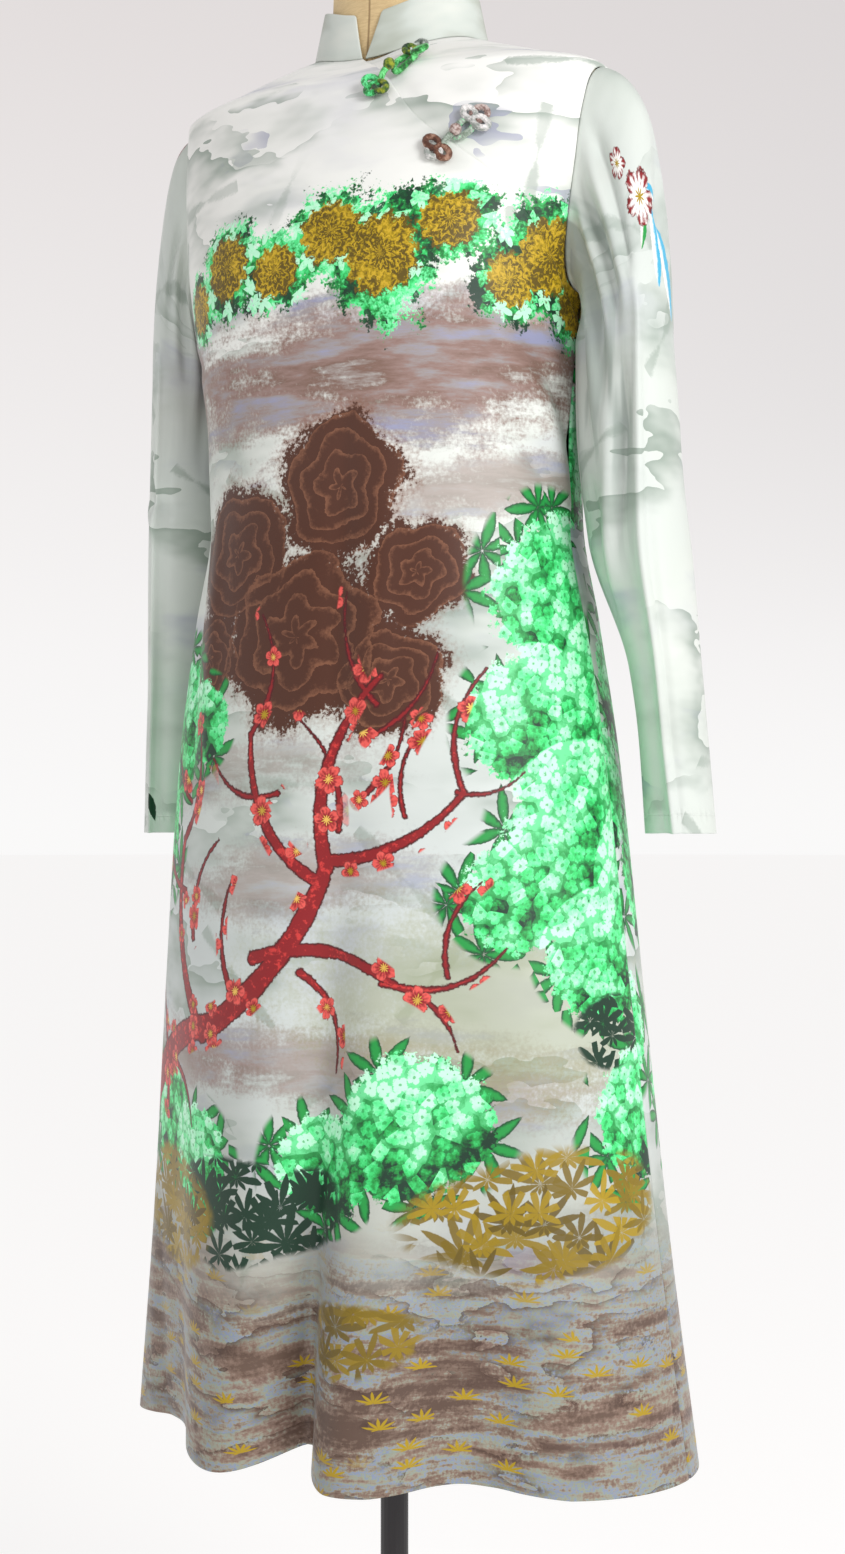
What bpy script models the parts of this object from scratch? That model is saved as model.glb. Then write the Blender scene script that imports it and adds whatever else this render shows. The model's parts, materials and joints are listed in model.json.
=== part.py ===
"""A long-sleeved dress with a stand-up collar, a slanting front closing and two knotted-cord frogs,
worn by a limbless dress form on a stand.

Sizes are in metres and +Z is up. The front of the dress faces -Y and the wearer's left is +X.
The origin is on the floor, on the axis of the stand.

The body of the dress is one imagined tube. A point of it is named by its angle round the tube, which is
0 at the centre front and grows towards the wearer's left, and by its level, which is the height up to the
shoulder point and then goes on along the shoulder to the neckline. The panels are cut from that tube.
"""

from collections import namedtuple
from math import cos, pi, radians, sin

import bmesh
import bpy
import numpy as np
from mathutils import Vector

# Cloth and seams
CLOTH = 0.002
SEAM_GAP = 0.0003
QUARTER = pi / 2
PROBE = 1e-4
FRONT_COLUMNS = 28
BACK_COLUMNS = 22
UNDERLAP_COLUMNS = 9

# Levels of the dress, from the hem up
HEM = 0.340
UNDERLAP_FOOT = 1.188
CLOSING_CORNER = 1.203
UNDERARM = 1.225
SHOULDER_POINT = 1.395
NECKLINE = 1.495

# Rows of every panel: levels on the skirt and bodice, round the armhole, and along the shoulder
SKIRT_LEVELS = (0.340, 0.395, 0.450, 0.505, 0.560, 0.620, 0.690, 0.760, 0.840, 0.920, 1.000)
BODICE_LEVELS = (1.045, 1.090, 1.135, 1.172, UNDERLAP_FOOT, CLOSING_CORNER, 1.214)
ARMHOLE_LEVELS = (UNDERARM, 1.229, 1.238, 1.255, 1.280, 1.310, 1.343, 1.372, 1.388, SHOULDER_POINT)
SHOULDER_LEVELS = (1.420, 1.445, 1.470, NECKLINE)
PANEL_LEVELS = SKIRT_LEVELS + BODICE_LEVELS + ARMHOLE_LEVELS + SHOULDER_LEVELS

# Girths of the dress: height at the side, front and back, half width, depth to the front and back of the
# side seam, how far the side seam lies behind the stand's axis, and how square the section is
Girth = namedtuple(
    "Girth", "level side_z front_z back_z half_width front back centre_y squareness"
)
GIRTHS = (
    Girth(0.340, 0.340, 0.340, 0.340, 0.236, 0.165, 0.172, 0.000, 2.00),
    Girth(0.500, 0.500, 0.500, 0.500, 0.218, 0.158, 0.163, 0.000, 2.00),
    Girth(0.690, 0.690, 0.690, 0.690, 0.200, 0.149, 0.154, 0.000, 2.05),
    Girth(0.880, 0.880, 0.880, 0.880, 0.181, 0.138, 0.144, 0.000, 2.10),
    Girth(0.980, 0.980, 0.980, 0.980, 0.166, 0.127, 0.130, 0.000, 2.15),
    Girth(1.060, 1.060, 1.060, 1.060, 0.154, 0.117, 0.112, 0.000, 2.20),
    Girth(1.130, 1.130, 1.130, 1.130, 0.155, 0.122, 0.107, 0.000, 2.15),
    Girth(1.200, 1.200, 1.200, 1.200, 0.162, 0.133, 0.109, 0.000, 2.10),
    Girth(1.250, 1.250, 1.250, 1.250, 0.171, 0.134, 0.112, 0.000, 2.05),
    Girth(1.300, 1.300, 1.300, 1.300, 0.180, 0.123, 0.116, -0.001, 2.05),
    Girth(1.350, 1.350, 1.350, 1.350, 0.185, 0.102, 0.112, -0.003, 2.10),
    Girth(1.395, 1.395, 1.395, 1.395, 0.187, 0.076, 0.096, -0.005, 2.15),
    Girth(1.430, 1.4105, 1.405, 1.415, 0.151, 0.070, 0.085, 0.000, 2.10),
    Girth(1.465, 1.4260, 1.413, 1.432, 0.108, 0.066, 0.073, 0.006, 2.05),
    Girth(1.495, 1.4400, 1.420, 1.446, 0.073, 0.062, 0.062, 0.012, 2.00),
)

# Folds that hang from the hips and the bust to the hem: angles in degrees at the hem and at the top of the
# fold, how far the cloth stands out (or in, below zero) at the hem, half width in degrees, height of the top
# and how late the fold deepens on its way down
Fold = namedtuple("Fold", "name hem_angle top_angle reach half_angle top growth")
FOLDS = (
    Fold("front valley", -5, 16, -0.054, 10, 0.92, 1.4),
    Fold("right front flute", -22, -6, 0.002, 9, 0.90, 1.4),
    Fold("right side valley", -59, -58, -0.040, 20, 1.00, 2.0),
    Fold("right side flute", -90, -84, 0.004, 16, 1.05, 0.9),
    Fold("front flute", 15, 30, 0.005, 9, 0.88, 1.4),
    Fold("left front hollow", 46, 45, -0.026, 15, 0.85, 1.4),
    Fold("left side flute", 88, 86, 0.014, 24, 0.95, 1.2),
    Fold("left back valley", 131, 128, -0.020, 11, 0.92, 1.4),
    Fold("left back flute", 150, 148, 0.008, 10, 0.88, 1.4),
    Fold("back valley", 171, 172, -0.024, 11, 0.95, 1.4),
    Fold("back flute", 191, 190, 0.010, 11, 0.88, 1.4),
    Fold("right back valley", 212, 210, -0.022, 11, 0.92, 1.4),
    Fold("right back flute", 236, 235, 0.009, 12, 0.88, 1.4),
)
HEM_LIFT = 0.33
HEM_LIFT_HEIGHT = 0.30

# Bust: angle of each point from the centre front, level, and how far it stands out
Bust = namedtuple("Bust", "angle level reach half_angle half_height")
BUSTS = (
    Bust(38, 1.232, 0.006, 24, 0.062),
    Bust(-38, 1.232, 0.006, 24, 0.062),
)

# Armhole: how far its edge lies inside the widest point of the side, front and back
Armhole = namedtuple("Armhole", "level front_inset back_inset")
ARMHOLE = (
    Armhole(1.225, 0.0000, 0.0000),
    Armhole(1.232, 0.0020, 0.0040),
    Armhole(1.250, 0.0042, 0.0075),
    Armhole(1.300, 0.0068, 0.0085),
    Armhole(1.340, 0.0068, 0.0080),
    Armhole(1.375, 0.0048, 0.0055),
    Armhole(1.390, 0.0020, 0.0022),
    Armhole(1.395, 0.0000, 0.0000),
)

# Closing edge of the front, from the left side seam up to the centre front at the neck
Closing = namedtuple("Closing", "level angle")
CLOSING = (
    Closing(1.203, 90.0),
    Closing(1.223, 80.5),
    Closing(1.240, 75.5),
    Closing(1.268, 67.5),
    Closing(1.295, 60.0),
    Closing(1.318, 51.0),
    Closing(1.340, 41.5),
    Closing(1.370, 32.0),
    Closing(1.395, 25.0),
    Closing(1.430, 17.0),
    Closing(1.465, 8.0),
    Closing(1.495, 0.0),
)
UNDERLAP_REACH = 0.015
UNDERLAP_GAP = 0.0027
UNDERLAP_EDGE_PLAY = 0.008
UNDERLAP_FADE = 0.030
UNDERLAP_SIDE_MARGIN = 0.012
UNDERLAP_NECK_FADE = 0.03

# Sleeves, from the cuff up: height, centre, half thickness, half depth, and how far the front edge turns
# outwards, in degrees
Cuff = namedtuple("Cuff", "z centre_x centre_y half_thick half_depth turn")
LEFT_SLEEVE = (
    Cuff(0.815, 0.2305, 0.033, 0.0270, 0.0460, 22),
    Cuff(0.890, 0.2273, 0.026, 0.0262, 0.0500, 19),
    Cuff(0.940, 0.2234, 0.021, 0.0275, 0.0530, 20),
    Cuff(1.038, 0.2053, 0.013, 0.0385, 0.0590, 28),
    Cuff(1.110, 0.1999, 0.006, 0.0385, 0.0640, 33),
    Cuff(1.184, 0.1989, 0.000, 0.0360, 0.0670, 34),
)
RIGHT_SLEEVE = (
    Cuff(0.815, 0.2205, 0.031, 0.0250, 0.0480, 10),
    Cuff(0.890, 0.2125, 0.025, 0.0255, 0.0500, 10),
    Cuff(0.940, 0.2055, 0.021, 0.0265, 0.0530, 10),
    Cuff(1.038, 0.1985, 0.016, 0.0285, 0.0580, 8),
    Cuff(1.110, 0.1935, 0.012, 0.0290, 0.0620, 4),
    Cuff(1.184, 0.1890, 0.008, 0.0290, 0.0660, 0),
)
# How far each sleeve's head stands out at the shoulder point and under the arm, as shares of its drop
LEFT_SLEEVE_HEAD = (0.32, 0.14)
RIGHT_SLEEVE_HEAD = (0.17, 0.17)
SLEEVE_EDGE_SHARPNESS = 1.25
SLEEVE_CLEARANCE = 0.0035
CAP_ROWS = 7
SLEEVE_ROWS = 12
# Which way the cloth leaves the armhole: out and down, less down near the shoulder, and towards the sleeve
HEAD_WAY = (1.0, 0.0, -0.55)
HEAD_RISE = 0.5
HEAD_TURN = 0.25
HEAD_FALL = 0.42
CAP_CLEARANCE_RATE = 2.5

# Collar
COLLAR_HEIGHT = 0.040
COLLAR_DROP_AT_FRONT = 0.002
COLLAR_LEAN = 0.115
COLLAR_FRONT_SLANT = 0.0105
COLLAR_FRONT_GAP = 0.0012
COLLAR_ROWS = 3
COLLAR_COLUMNS = 30

# Dress form and stand
FORM_BOTTOM = 0.830
FORM_LEVELS = (
    FORM_BOTTOM, 0.90, 0.98, 1.06, 1.13, 1.18, 1.22, 1.265,
    1.31, 1.35, 1.38, 1.40, 1.43, 1.46, 1.485,
)
FORM_TOP = 1.505
FORM_COLUMNS = 28
NECK_RADIUS_X = 0.0575
NECK_RADIUS_Y = 0.0530
# Rings of the form's neck: height, share of the neck's radii, and how far the front dips below the back
NeckRing = namedtuple("NeckRing", "z share tilt")
NECK_RINGS = (
    NeckRing(1.4400, 1.045, 0.010),
    NeckRing(1.4560, 1.000, 0.000),
    NeckRing(1.4800, 0.985, 0.000),
    NeckRing(FORM_TOP - 0.003, 0.975, 0.000),
    NeckRing(FORM_TOP, 0.930, 0.000),
)
# How far the form lies inside the cloth: everywhere, below the bust, below the shoulders, and in front
FORM_CLEARANCE = 0.0012
HIP_CLEARANCE = 0.0125
HIP_CLEARANCE_TOP = 1.19
HIP_CLEARANCE_FADE = 0.14
CHEST_CLEARANCE = 0.0036
CHEST_CLEARANCE_TOP = SHOULDER_POINT + 0.02
CHEST_CLEARANCE_FADE = 0.06
FRONT_CLEARANCE = 0.0086
POLE_RADIUS = 0.011
POLE_SIDES = 20
BASE_RADIUS = 0.170
BASE_HEIGHT = 0.012
BASE_BEVEL = 0.004
BASE_SIDES = 40

# Frogs: angle and level of the middle of each half's three petals, the button's half first
Frog = namedtuple("Frog", "name button_angle button_level loop_angle loop_level")
FROGS = (
    Frog("upper", 23.0, 1.377, 40.0, 1.425),
    Frog("lower", 43.5, 1.320, 54.0, 1.342),
)
CORD_RADIUS = 0.0025
PETAL_LENGTH = 0.0115
PETAL_HALF_WIDTH = 0.0045
PETAL_TURN = 78
PETAL_POINTS = 11
PETAL_START = 0.1
PETAL_STEP = 0.0006
PETAL_RISE = 0.0010
STEM_POINTS = 9
BUTTON_RADIUS = 0.0044
BUTTON_SHARE = 0.52
BUTTON_RISE = 0.0018
FROG_GAP = 0.0004
RING_RADIUS = 0.0050
RING_NARROWING = 0.92
STEM_CLEARANCE = 0.3


def column(table, name):
    """The first column of a table and one other, as arrays."""
    return (
        np.array([row[0] for row in table], float),
        np.array([getattr(row, name) for row in table], float),
    )


def smooth(table, name, at):
    """A smooth curve through one column of a table that never overshoots its values."""
    xs, ys = column(table, name)
    steps, rises = np.diff(xs), np.diff(ys) / np.diff(xs)
    slopes = np.zeros(len(xs))
    for i in range(1, len(xs) - 1):
        if rises[i - 1] * rises[i] > 0:
            first, second = 2 * steps[i] + steps[i - 1], steps[i] + 2 * steps[i - 1]
            slopes[i] = (first + second) / (first / rises[i - 1] + second / rises[i])
    slopes[0], slopes[-1] = rises[0], rises[-1]
    at = np.clip(np.asarray(at, float), xs[0], xs[-1])
    i = np.clip(np.searchsorted(xs, at) - 1, 0, len(xs) - 2)
    t = (at - xs[i]) / steps[i]
    return (
        ys[i] * (1 + 2 * t) * (1 - t) ** 2
        + ys[i + 1] * t * t * (3 - 2 * t)
        + steps[i] * (slopes[i] * t * (1 - t) ** 2 - slopes[i + 1] * t * t * (1 - t))
    )


def ease(share):
    """0 to 1 with a soft start and end."""
    share = np.clip(share, 0, 1)
    return share * share * (3 - 2 * share)


def turn_between(angle, other):
    """The turn from other to angle, in radians, the short way round."""
    return (angle - other + pi) % (2 * pi) - pi


def fold_reach(angle, level):
    """How far the folds move the cloth out from the plain section."""
    total = np.zeros(np.broadcast(angle, level).shape)
    for fold in FOLDS:
        share = np.clip((fold.top - level) / (fold.top - HEM), 0, 1)
        middle = radians(fold.top_angle) + share * radians(
            fold.hem_angle - fold.top_angle
        )
        across = turn_between(angle, middle) / radians(fold.half_angle)
        total = total + fold.reach * share**fold.growth * np.exp(-(across**2))
    return total


def bust_reach(angle, level):
    total = np.zeros(np.broadcast(angle, level).shape)
    for bust in BUSTS:
        across = turn_between(angle, radians(bust.angle)) / radians(bust.half_angle)
        along = (level - bust.level) / bust.half_height
        total = total + bust.reach * np.exp(-(across**2) - along**2)
    return total


def tube_point(angle, level, folded=True):
    """A point of the outer face of the dress's body."""
    angle, level = np.asarray(angle, float), np.asarray(level, float)
    front, side = np.cos(angle), np.sin(angle)
    square = smooth(GIRTHS, "squareness", level)
    depth = np.where(
        front > 0, smooth(GIRTHS, "front", level), smooth(GIRTHS, "back", level)
    )
    width = smooth(GIRTHS, "half_width", level)
    radius = (np.abs(side / width) ** square + np.abs(front / depth) ** square) ** (
        -1 / square
    )
    radius = radius + bust_reach(angle, level)
    z = (
        smooth(GIRTHS, "side_z", level) * side**2
        + smooth(GIRTHS, "front_z", level) * np.where(front > 0, front, 0) ** 2
        + smooth(GIRTHS, "back_z", level) * np.where(front < 0, front, 0) ** 2
    )
    if folded:
        reach = fold_reach(angle, level)
        radius = radius + reach
        z = z + HEM_LIFT * np.clip(-reach, 0, 1) * ease(
            1 - (level - HEM) / HEM_LIFT_HEIGHT
        )
    return np.stack(
        [
            radius * side,
            smooth(GIRTHS, "centre_y", level) - radius * front,
            z + 0 * angle,
        ],
        -1,
    )


def unit(vectors):
    return vectors / np.linalg.norm(vectors, axis=-1, keepdims=True)


def tube_normal(angle, level, folded=True):
    """The direction out of the dress's body."""
    along = tube_point(angle, level + PROBE, folded) - tube_point(angle, level - PROBE, folded)
    around = tube_point(angle + PROBE, level, folded) - tube_point(angle - PROBE, level, folded)
    return unit(np.cross(around, along))


def angle_at_x(x, level, back=False):
    """The angle on the wearer's left, in front or behind, where the tube is x from the middle."""
    angles = np.linspace(QUARTER, pi if back else 0, 400)
    xs = tube_point(angles, np.full(400, level))[:, 0]
    return float(np.interp(-x, -xs, angles))


def armhole_angle(level, back=False):
    """The edge of the left armhole, or of the shoulder or side seam above and below it."""
    if level <= UNDERARM or level >= SHOULDER_POINT:
        return QUARTER
    inset = smooth(ARMHOLE, "back_inset" if back else "front_inset", level)
    return angle_at_x(float(smooth(GIRTHS, "half_width", level) - inset), level, back)


def closing_angle(level):
    """The front's free edge, on the wearer's left."""
    return radians(float(smooth(CLOSING, "angle", level)))


def seam_allowance(level):
    """The angle that leaves half a seam gap at an upright seam."""
    return SEAM_GAP / 2 / float(smooth(GIRTHS, "half_width", level))


def spread(start, end, level, columns):
    """Angles from start to end that lie evenly along the cloth."""
    angles = np.linspace(start, end, 12 * columns + 1)
    points = tube_point(angles, np.full(len(angles), level))
    run = np.concatenate(
        [[0], np.cumsum(np.linalg.norm(np.diff(points, axis=0), axis=1))]
    )
    return np.interp(np.linspace(0, run[-1], columns + 1), run, angles)


def panel_grid(levels, start, end, columns):
    """Angles and levels of a panel's points, row by row from its lowest edge."""
    angles = np.array([spread(start(v), end(v), v, columns) for v in levels])
    return angles, np.repeat(np.array(levels)[:, None], columns + 1, axis=1)


def add_object(name, mesh, material):
    thing = bpy.data.objects.new(name, mesh)
    mesh.materials.append(material)
    PARTS.objects.link(thing)
    return thing


def wall(name, outer, inner, material, round_way=False):
    """A closed wall between an outer and an inner grid of points, which may go all the way round."""
    rows, columns = outer.shape[:2]
    form = bmesh.new()
    faces_out = [[form.verts.new(p) for p in row] for row in outer]
    faces_in = [[form.verts.new(p) for p in row] for row in inner]

    def strip(first, second, flip):
        last = columns if round_way else columns - 1
        for j in range(last):
            k = (j + 1) % columns
            corners = (first[j], first[k], second[k], second[j])
            form.faces.new(corners[::-1] if flip else corners)

    for i in range(rows - 1):
        strip(faces_out[i], faces_out[i + 1], False)
        strip(faces_in[i], faces_in[i + 1], True)
    strip(faces_out[0], faces_in[0], True)
    strip(faces_out[-1], faces_in[-1], False)
    if not round_way:
        for j, flip in ((0, False), (columns - 1, True)):
            for i in range(rows - 1):
                corners = (
                    faces_out[i][j],
                    faces_out[i + 1][j],
                    faces_in[i + 1][j],
                    faces_in[i][j],
                )
                form.faces.new(corners[::-1] if flip else corners)
    form.normal_update()
    form.faces.ensure_lookup_table()
    if form.faces[0].normal.dot(Vector(outer[0][0] - inner[0][0])) < 0:
        bmesh.ops.reverse_faces(form, faces=form.faces)
    mesh = bpy.data.meshes.new(name)
    form.to_mesh(mesh)
    form.free()
    mesh.shade_smooth()
    mesh.set_sharp_from_angle(angle=radians(50))
    return add_object(name, mesh, material)


def panel(name, angles, levels, material, lift=0.0):
    """A panel of the body: lift moves it out from the tube's outer face."""
    points, normals = tube_point(angles, levels), tube_normal(angles, levels)
    lift = np.asarray(lift)[..., None] if np.ndim(lift) else lift
    return wall(
        name, points + lift * normals, points + (lift - CLOTH) * normals, material
    )


def levels_between(low, high):
    """The panels' common rows from one height to another, so that their seams match point for point."""
    return [level for level in PANEL_LEVELS if low - 1e-6 <= level <= high + 1e-6]


def make_front(material):
    def right(level):
        return -armhole_angle(level) + seam_allowance(level)

    def left(level):
        if level <= CLOSING_CORNER:
            return QUARTER - seam_allowance(level)
        return closing_angle(level) - seam_allowance(level)

    angles, rows = panel_grid(PANEL_LEVELS, right, left, FRONT_COLUMNS)
    return panel("front", angles, rows, material)


def make_underlap(material):
    """The left front above the closing, which runs on under the front's edge."""
    levels = levels_between(UNDERLAP_FOOT, NECKLINE)

    def inner(level):
        width = float(smooth(GIRTHS, "half_width", level))
        under = closing_angle(level + UNDERLAP_REACH) - UNDERLAP_REACH / 2 / width
        inside_seam = QUARTER - UNDERLAP_SIDE_MARGIN / width
        below_neck = ease((NECKLINE - level) / UNDERLAP_NECK_FADE)
        return max(min(under, inside_seam) * below_neck, seam_allowance(level))

    def outer(level):
        return armhole_angle(level) - seam_allowance(level)

    angles, rows = panel_grid(levels, inner, outer, UNDERLAP_COLUMNS)
    return panel("left_front_underlap", angles, rows, material, underlap_lift(angles, rows))


def make_back(material):
    def left(level):
        return armhole_angle(level, back=True) + seam_allowance(level)

    def right(level):
        return 2 * pi - armhole_angle(level, back=True) - seam_allowance(level)

    angles, rows = panel_grid(PANEL_LEVELS, left, right, BACK_COLUMNS)
    return panel("back", angles, rows, material)


def armhole_loop():
    """The left armhole's edge, from the underarm up the front and down the back, row by row of the panels,
    and each point's share of the way round."""
    front = [tube_point(armhole_angle(v), v) for v in ARMHOLE_LEVELS[:-1]]
    back = [tube_point(armhole_angle(v, back=True), v) for v in ARMHOLE_LEVELS[:0:-1]]
    loop = np.array(front + back)
    steps = np.linalg.norm(np.roll(loop, -1, axis=0) - loop, axis=1)
    run = np.cumsum(steps) - steps
    return loop, run / steps.sum()


def sleeve_ring(cuffs, z, shares):
    """A level section of the left sleeve: shares 0 and 1 face the body and 0.25 is its front edge."""
    around = 2 * pi * shares
    turn = radians(float(smooth(cuffs, "turn", z)))
    across = np.array([cos(turn), sin(turn), 0])
    forward = np.array([sin(turn), -cos(turn), 0])
    middle = np.array(
        [
            float(smooth(cuffs, "centre_x", z)),
            float(smooth(cuffs, "centre_y", z)),
            z,
        ]
    )
    thick = float(smooth(cuffs, "half_thick", z))
    lens = np.sign(np.cos(around)) * np.abs(np.cos(around)) ** SLEEVE_EDGE_SHARPNESS
    deep = float(smooth(cuffs, "half_depth", z))
    return (
        middle
        - thick * lens[:, None] * across
        + deep * np.sin(around)[:, None] * forward
    )


def clear_of_body(points, clearance):
    """Moves points out to a clearance from the body of the dress, where they are nearer."""
    moved = points.copy()
    centre_y = smooth(GIRTHS, "centre_y", points[:, 2])
    away = np.stack([points[:, 0], points[:, 1] - centre_y], 1)
    angles = np.arctan2(away[:, 0], -away[:, 1])
    body = tube_point(angles, points[:, 2])
    body_radius = np.hypot(body[:, 0], body[:, 1] - centre_y) + clearance
    radius = np.linalg.norm(away, axis=1)
    scale = np.maximum(body_radius / radius, 1)
    below = points[:, 2] < UNDERARM
    scale = np.where(below, scale, 1)
    moved[:, 0] = points[:, 0] * scale
    moved[:, 1] = centre_y + away[:, 1] * scale
    return moved


def sleeve_grid(cuffs, head):
    """Rings of the left sleeve, from the armhole down to the cuff."""
    armhole, shares = armhole_loop()
    top = cuffs[-1].z
    ring = sleeve_ring(cuffs, top, shares)
    height = np.sin(pi * shares)[:, None]
    rise = np.array([0.0, 0.0, HEAD_RISE]) * height
    outward = unit(np.array(HEAD_WAY) + rise + HEAD_TURN * unit(ring - armhole))
    start = armhole + SEAM_GAP * outward
    reach = np.linalg.norm(ring - start, axis=1)[:, None]
    pull_out = reach * (head[1] + (head[0] - head[1]) * height**2) * outward
    pull_up = reach * HEAD_FALL * np.array([0.0, 0.0, 1.0])
    rows = []
    for i in range(CAP_ROWS):
        t = i / CAP_ROWS
        row = (
            (1 - t) ** 3 * start
            + 3 * (1 - t) ** 2 * t * (start + pull_out)
            + 3 * (1 - t) * t * t * (ring + pull_up)
            + t**3 * ring
        )
        if i:
            row = clear_of_body(row, SLEEVE_CLEARANCE * ease(CAP_CLEARANCE_RATE * t))
        rows.append(row)
    bottom = cuffs[0].z
    for i in range(SLEEVE_ROWS + 1):
        z = top + (bottom - top) * i / SLEEVE_ROWS
        rows.append(clear_of_body(sleeve_ring(cuffs, z, shares), SLEEVE_CLEARANCE))
    return np.array(rows)


def round_normals(grid):
    """Directions out of a grid that goes round in its second way."""
    around = np.roll(grid, -1, axis=1) - np.roll(grid, 1, axis=1)
    along = np.gradient(grid, axis=0)
    normals = unit(np.cross(along, around))
    outward = grid - grid.mean(axis=1, keepdims=True)
    side = np.sign((normals * outward).sum(axis=-1).sum(axis=1))
    return normals * side[:, None, None]


def make_sleeve(name, cuffs, head, side, material):
    grid = sleeve_grid(cuffs, head)
    inner = grid - CLOTH * round_normals(grid)
    mirror = np.array([side, 1, 1])
    return wall(name, grid * mirror, inner * mirror, material, round_way=True)


def make_collar(material):
    """A band that stands on the neckline, leans in as it rises and parts in a V at the centre front."""
    outer, inner = [], []
    for i in range(COLLAR_ROWS + 1):
        share = i / COLLAR_ROWS
        start = (COLLAR_FRONT_GAP + COLLAR_FRONT_SLANT * share) / NECK_RADIUS_X
        angles = np.linspace(start, 2 * pi - start, COLLAR_COLUMNS + 1)
        foot = tube_point(angles, np.full(len(angles), NECKLINE))
        middle = np.array([0, GIRTHS[-1].centre_y, 0])
        spoke = (foot - middle) * np.array([1, 1, 0])
        front = np.clip(np.cos(angles), 0, 1)[:, None]
        rise = COLLAR_HEIGHT - COLLAR_DROP_AT_FRONT * front**4
        ring = middle + spoke * (1 - COLLAR_LEAN * share)
        ring[:, 2:] = foot[:, 2:] + SEAM_GAP + rise * share
        outer.append(ring)
        inner.append(ring - CLOTH * unit(spoke))
    return wall("collar", np.array(outer), np.array(inner), material)


def underlap_lift(angle, level):
    """How far the underlap lies below the front's own surface, near and under the front's edge."""
    width = smooth(GIRTHS, "half_width", level)
    past_edge = (angle - np.radians(smooth(CLOSING, "angle", level))) * width
    return -(CLOTH + UNDERLAP_GAP) * (1 - ease((past_edge - UNDERLAP_EDGE_PLAY) / UNDERLAP_FADE))


def on_cloth(frog_frame, along, aside, height):
    """Points laid on the front: along a frog, aside from it, and up from the cloth."""
    angle, level, turn = frog_frame
    across = along * cos(turn) - aside * sin(turn)
    up = along * sin(turn) + aside * cos(turn)
    here = tube_point(angle, level)
    per_angle = np.linalg.norm(tube_point(angle + PROBE, level) - here) / PROBE
    per_level = np.linalg.norm(tube_point(angle, level + PROBE) - here) / PROBE
    angles, levels = angle + across / per_angle, level + up / per_level
    normals = tube_normal(angles, levels)
    return tube_point(angles, levels) + height[:, None] * normals


def cord(name, points, closed, material):
    """A closed mesh of a cord along the points."""
    curve = bpy.data.curves.new(name, "CURVE")
    curve.dimensions = "3D"
    curve.bevel_depth = CORD_RADIUS
    curve.bevel_resolution = 2
    curve.use_fill_caps = True
    spline = curve.splines.new("POLY")
    spline.points.add(len(points) - 1)
    for spot, place in zip(spline.points, points):
        spot.co = (*place, 1)
    spline.use_cyclic_u = closed
    thing = bpy.data.objects.new(name, curve)
    PARTS.objects.link(thing)
    seen = thing.evaluated_get(bpy.context.evaluated_depsgraph_get())
    mesh = bpy.data.meshes.new_from_object(seen)
    form = bmesh.new()
    form.from_mesh(mesh)
    bmesh.ops.remove_doubles(form, verts=form.verts, dist=1e-5)
    form.to_mesh(mesh)
    form.free()
    bpy.data.objects.remove(thing)
    mesh.materials.clear()
    return add_object(name, mesh, material)


def joined(whole, others):
    """One closed body from a piece and the pieces that it runs into."""
    for other in others:
        PARTS.objects.unlink(other)
        CUTTERS.objects.link(other)
        other.hide_render = True
        other.display_type = "WIRE"
        union = whole.modifiers.new("joined to " + other.name, "BOOLEAN")
        union.operation = "UNION"
        union.object = other
    return whole


def petals(name, frame, away, material):
    """Three loops of cord, side by side, that start from the middle of a frog's half."""
    made = []
    for number, turned in enumerate((0, PETAL_TURN, -PETAL_TURN)):
        share = np.arange(PETAL_POINTS) * 2 * pi / PETAL_POINTS + PETAL_START
        out = PETAL_LENGTH / 2 * (1 - np.cos(share))
        side = PETAL_HALF_WIDTH * np.sin(share)
        turn = radians(turned + (180 if away else 0))
        height = CORD_RADIUS + FROG_GAP + PETAL_STEP * number + PETAL_RISE * (1 - out / PETAL_LENGTH)
        points = on_cloth(
            frame,
            out * cos(turn) - side * sin(turn),
            out * sin(turn) + side * cos(turn),
            height,
        )
        made.append(cord(f"{name} petal {number + 1}", points, True, material))
    return made


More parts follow.
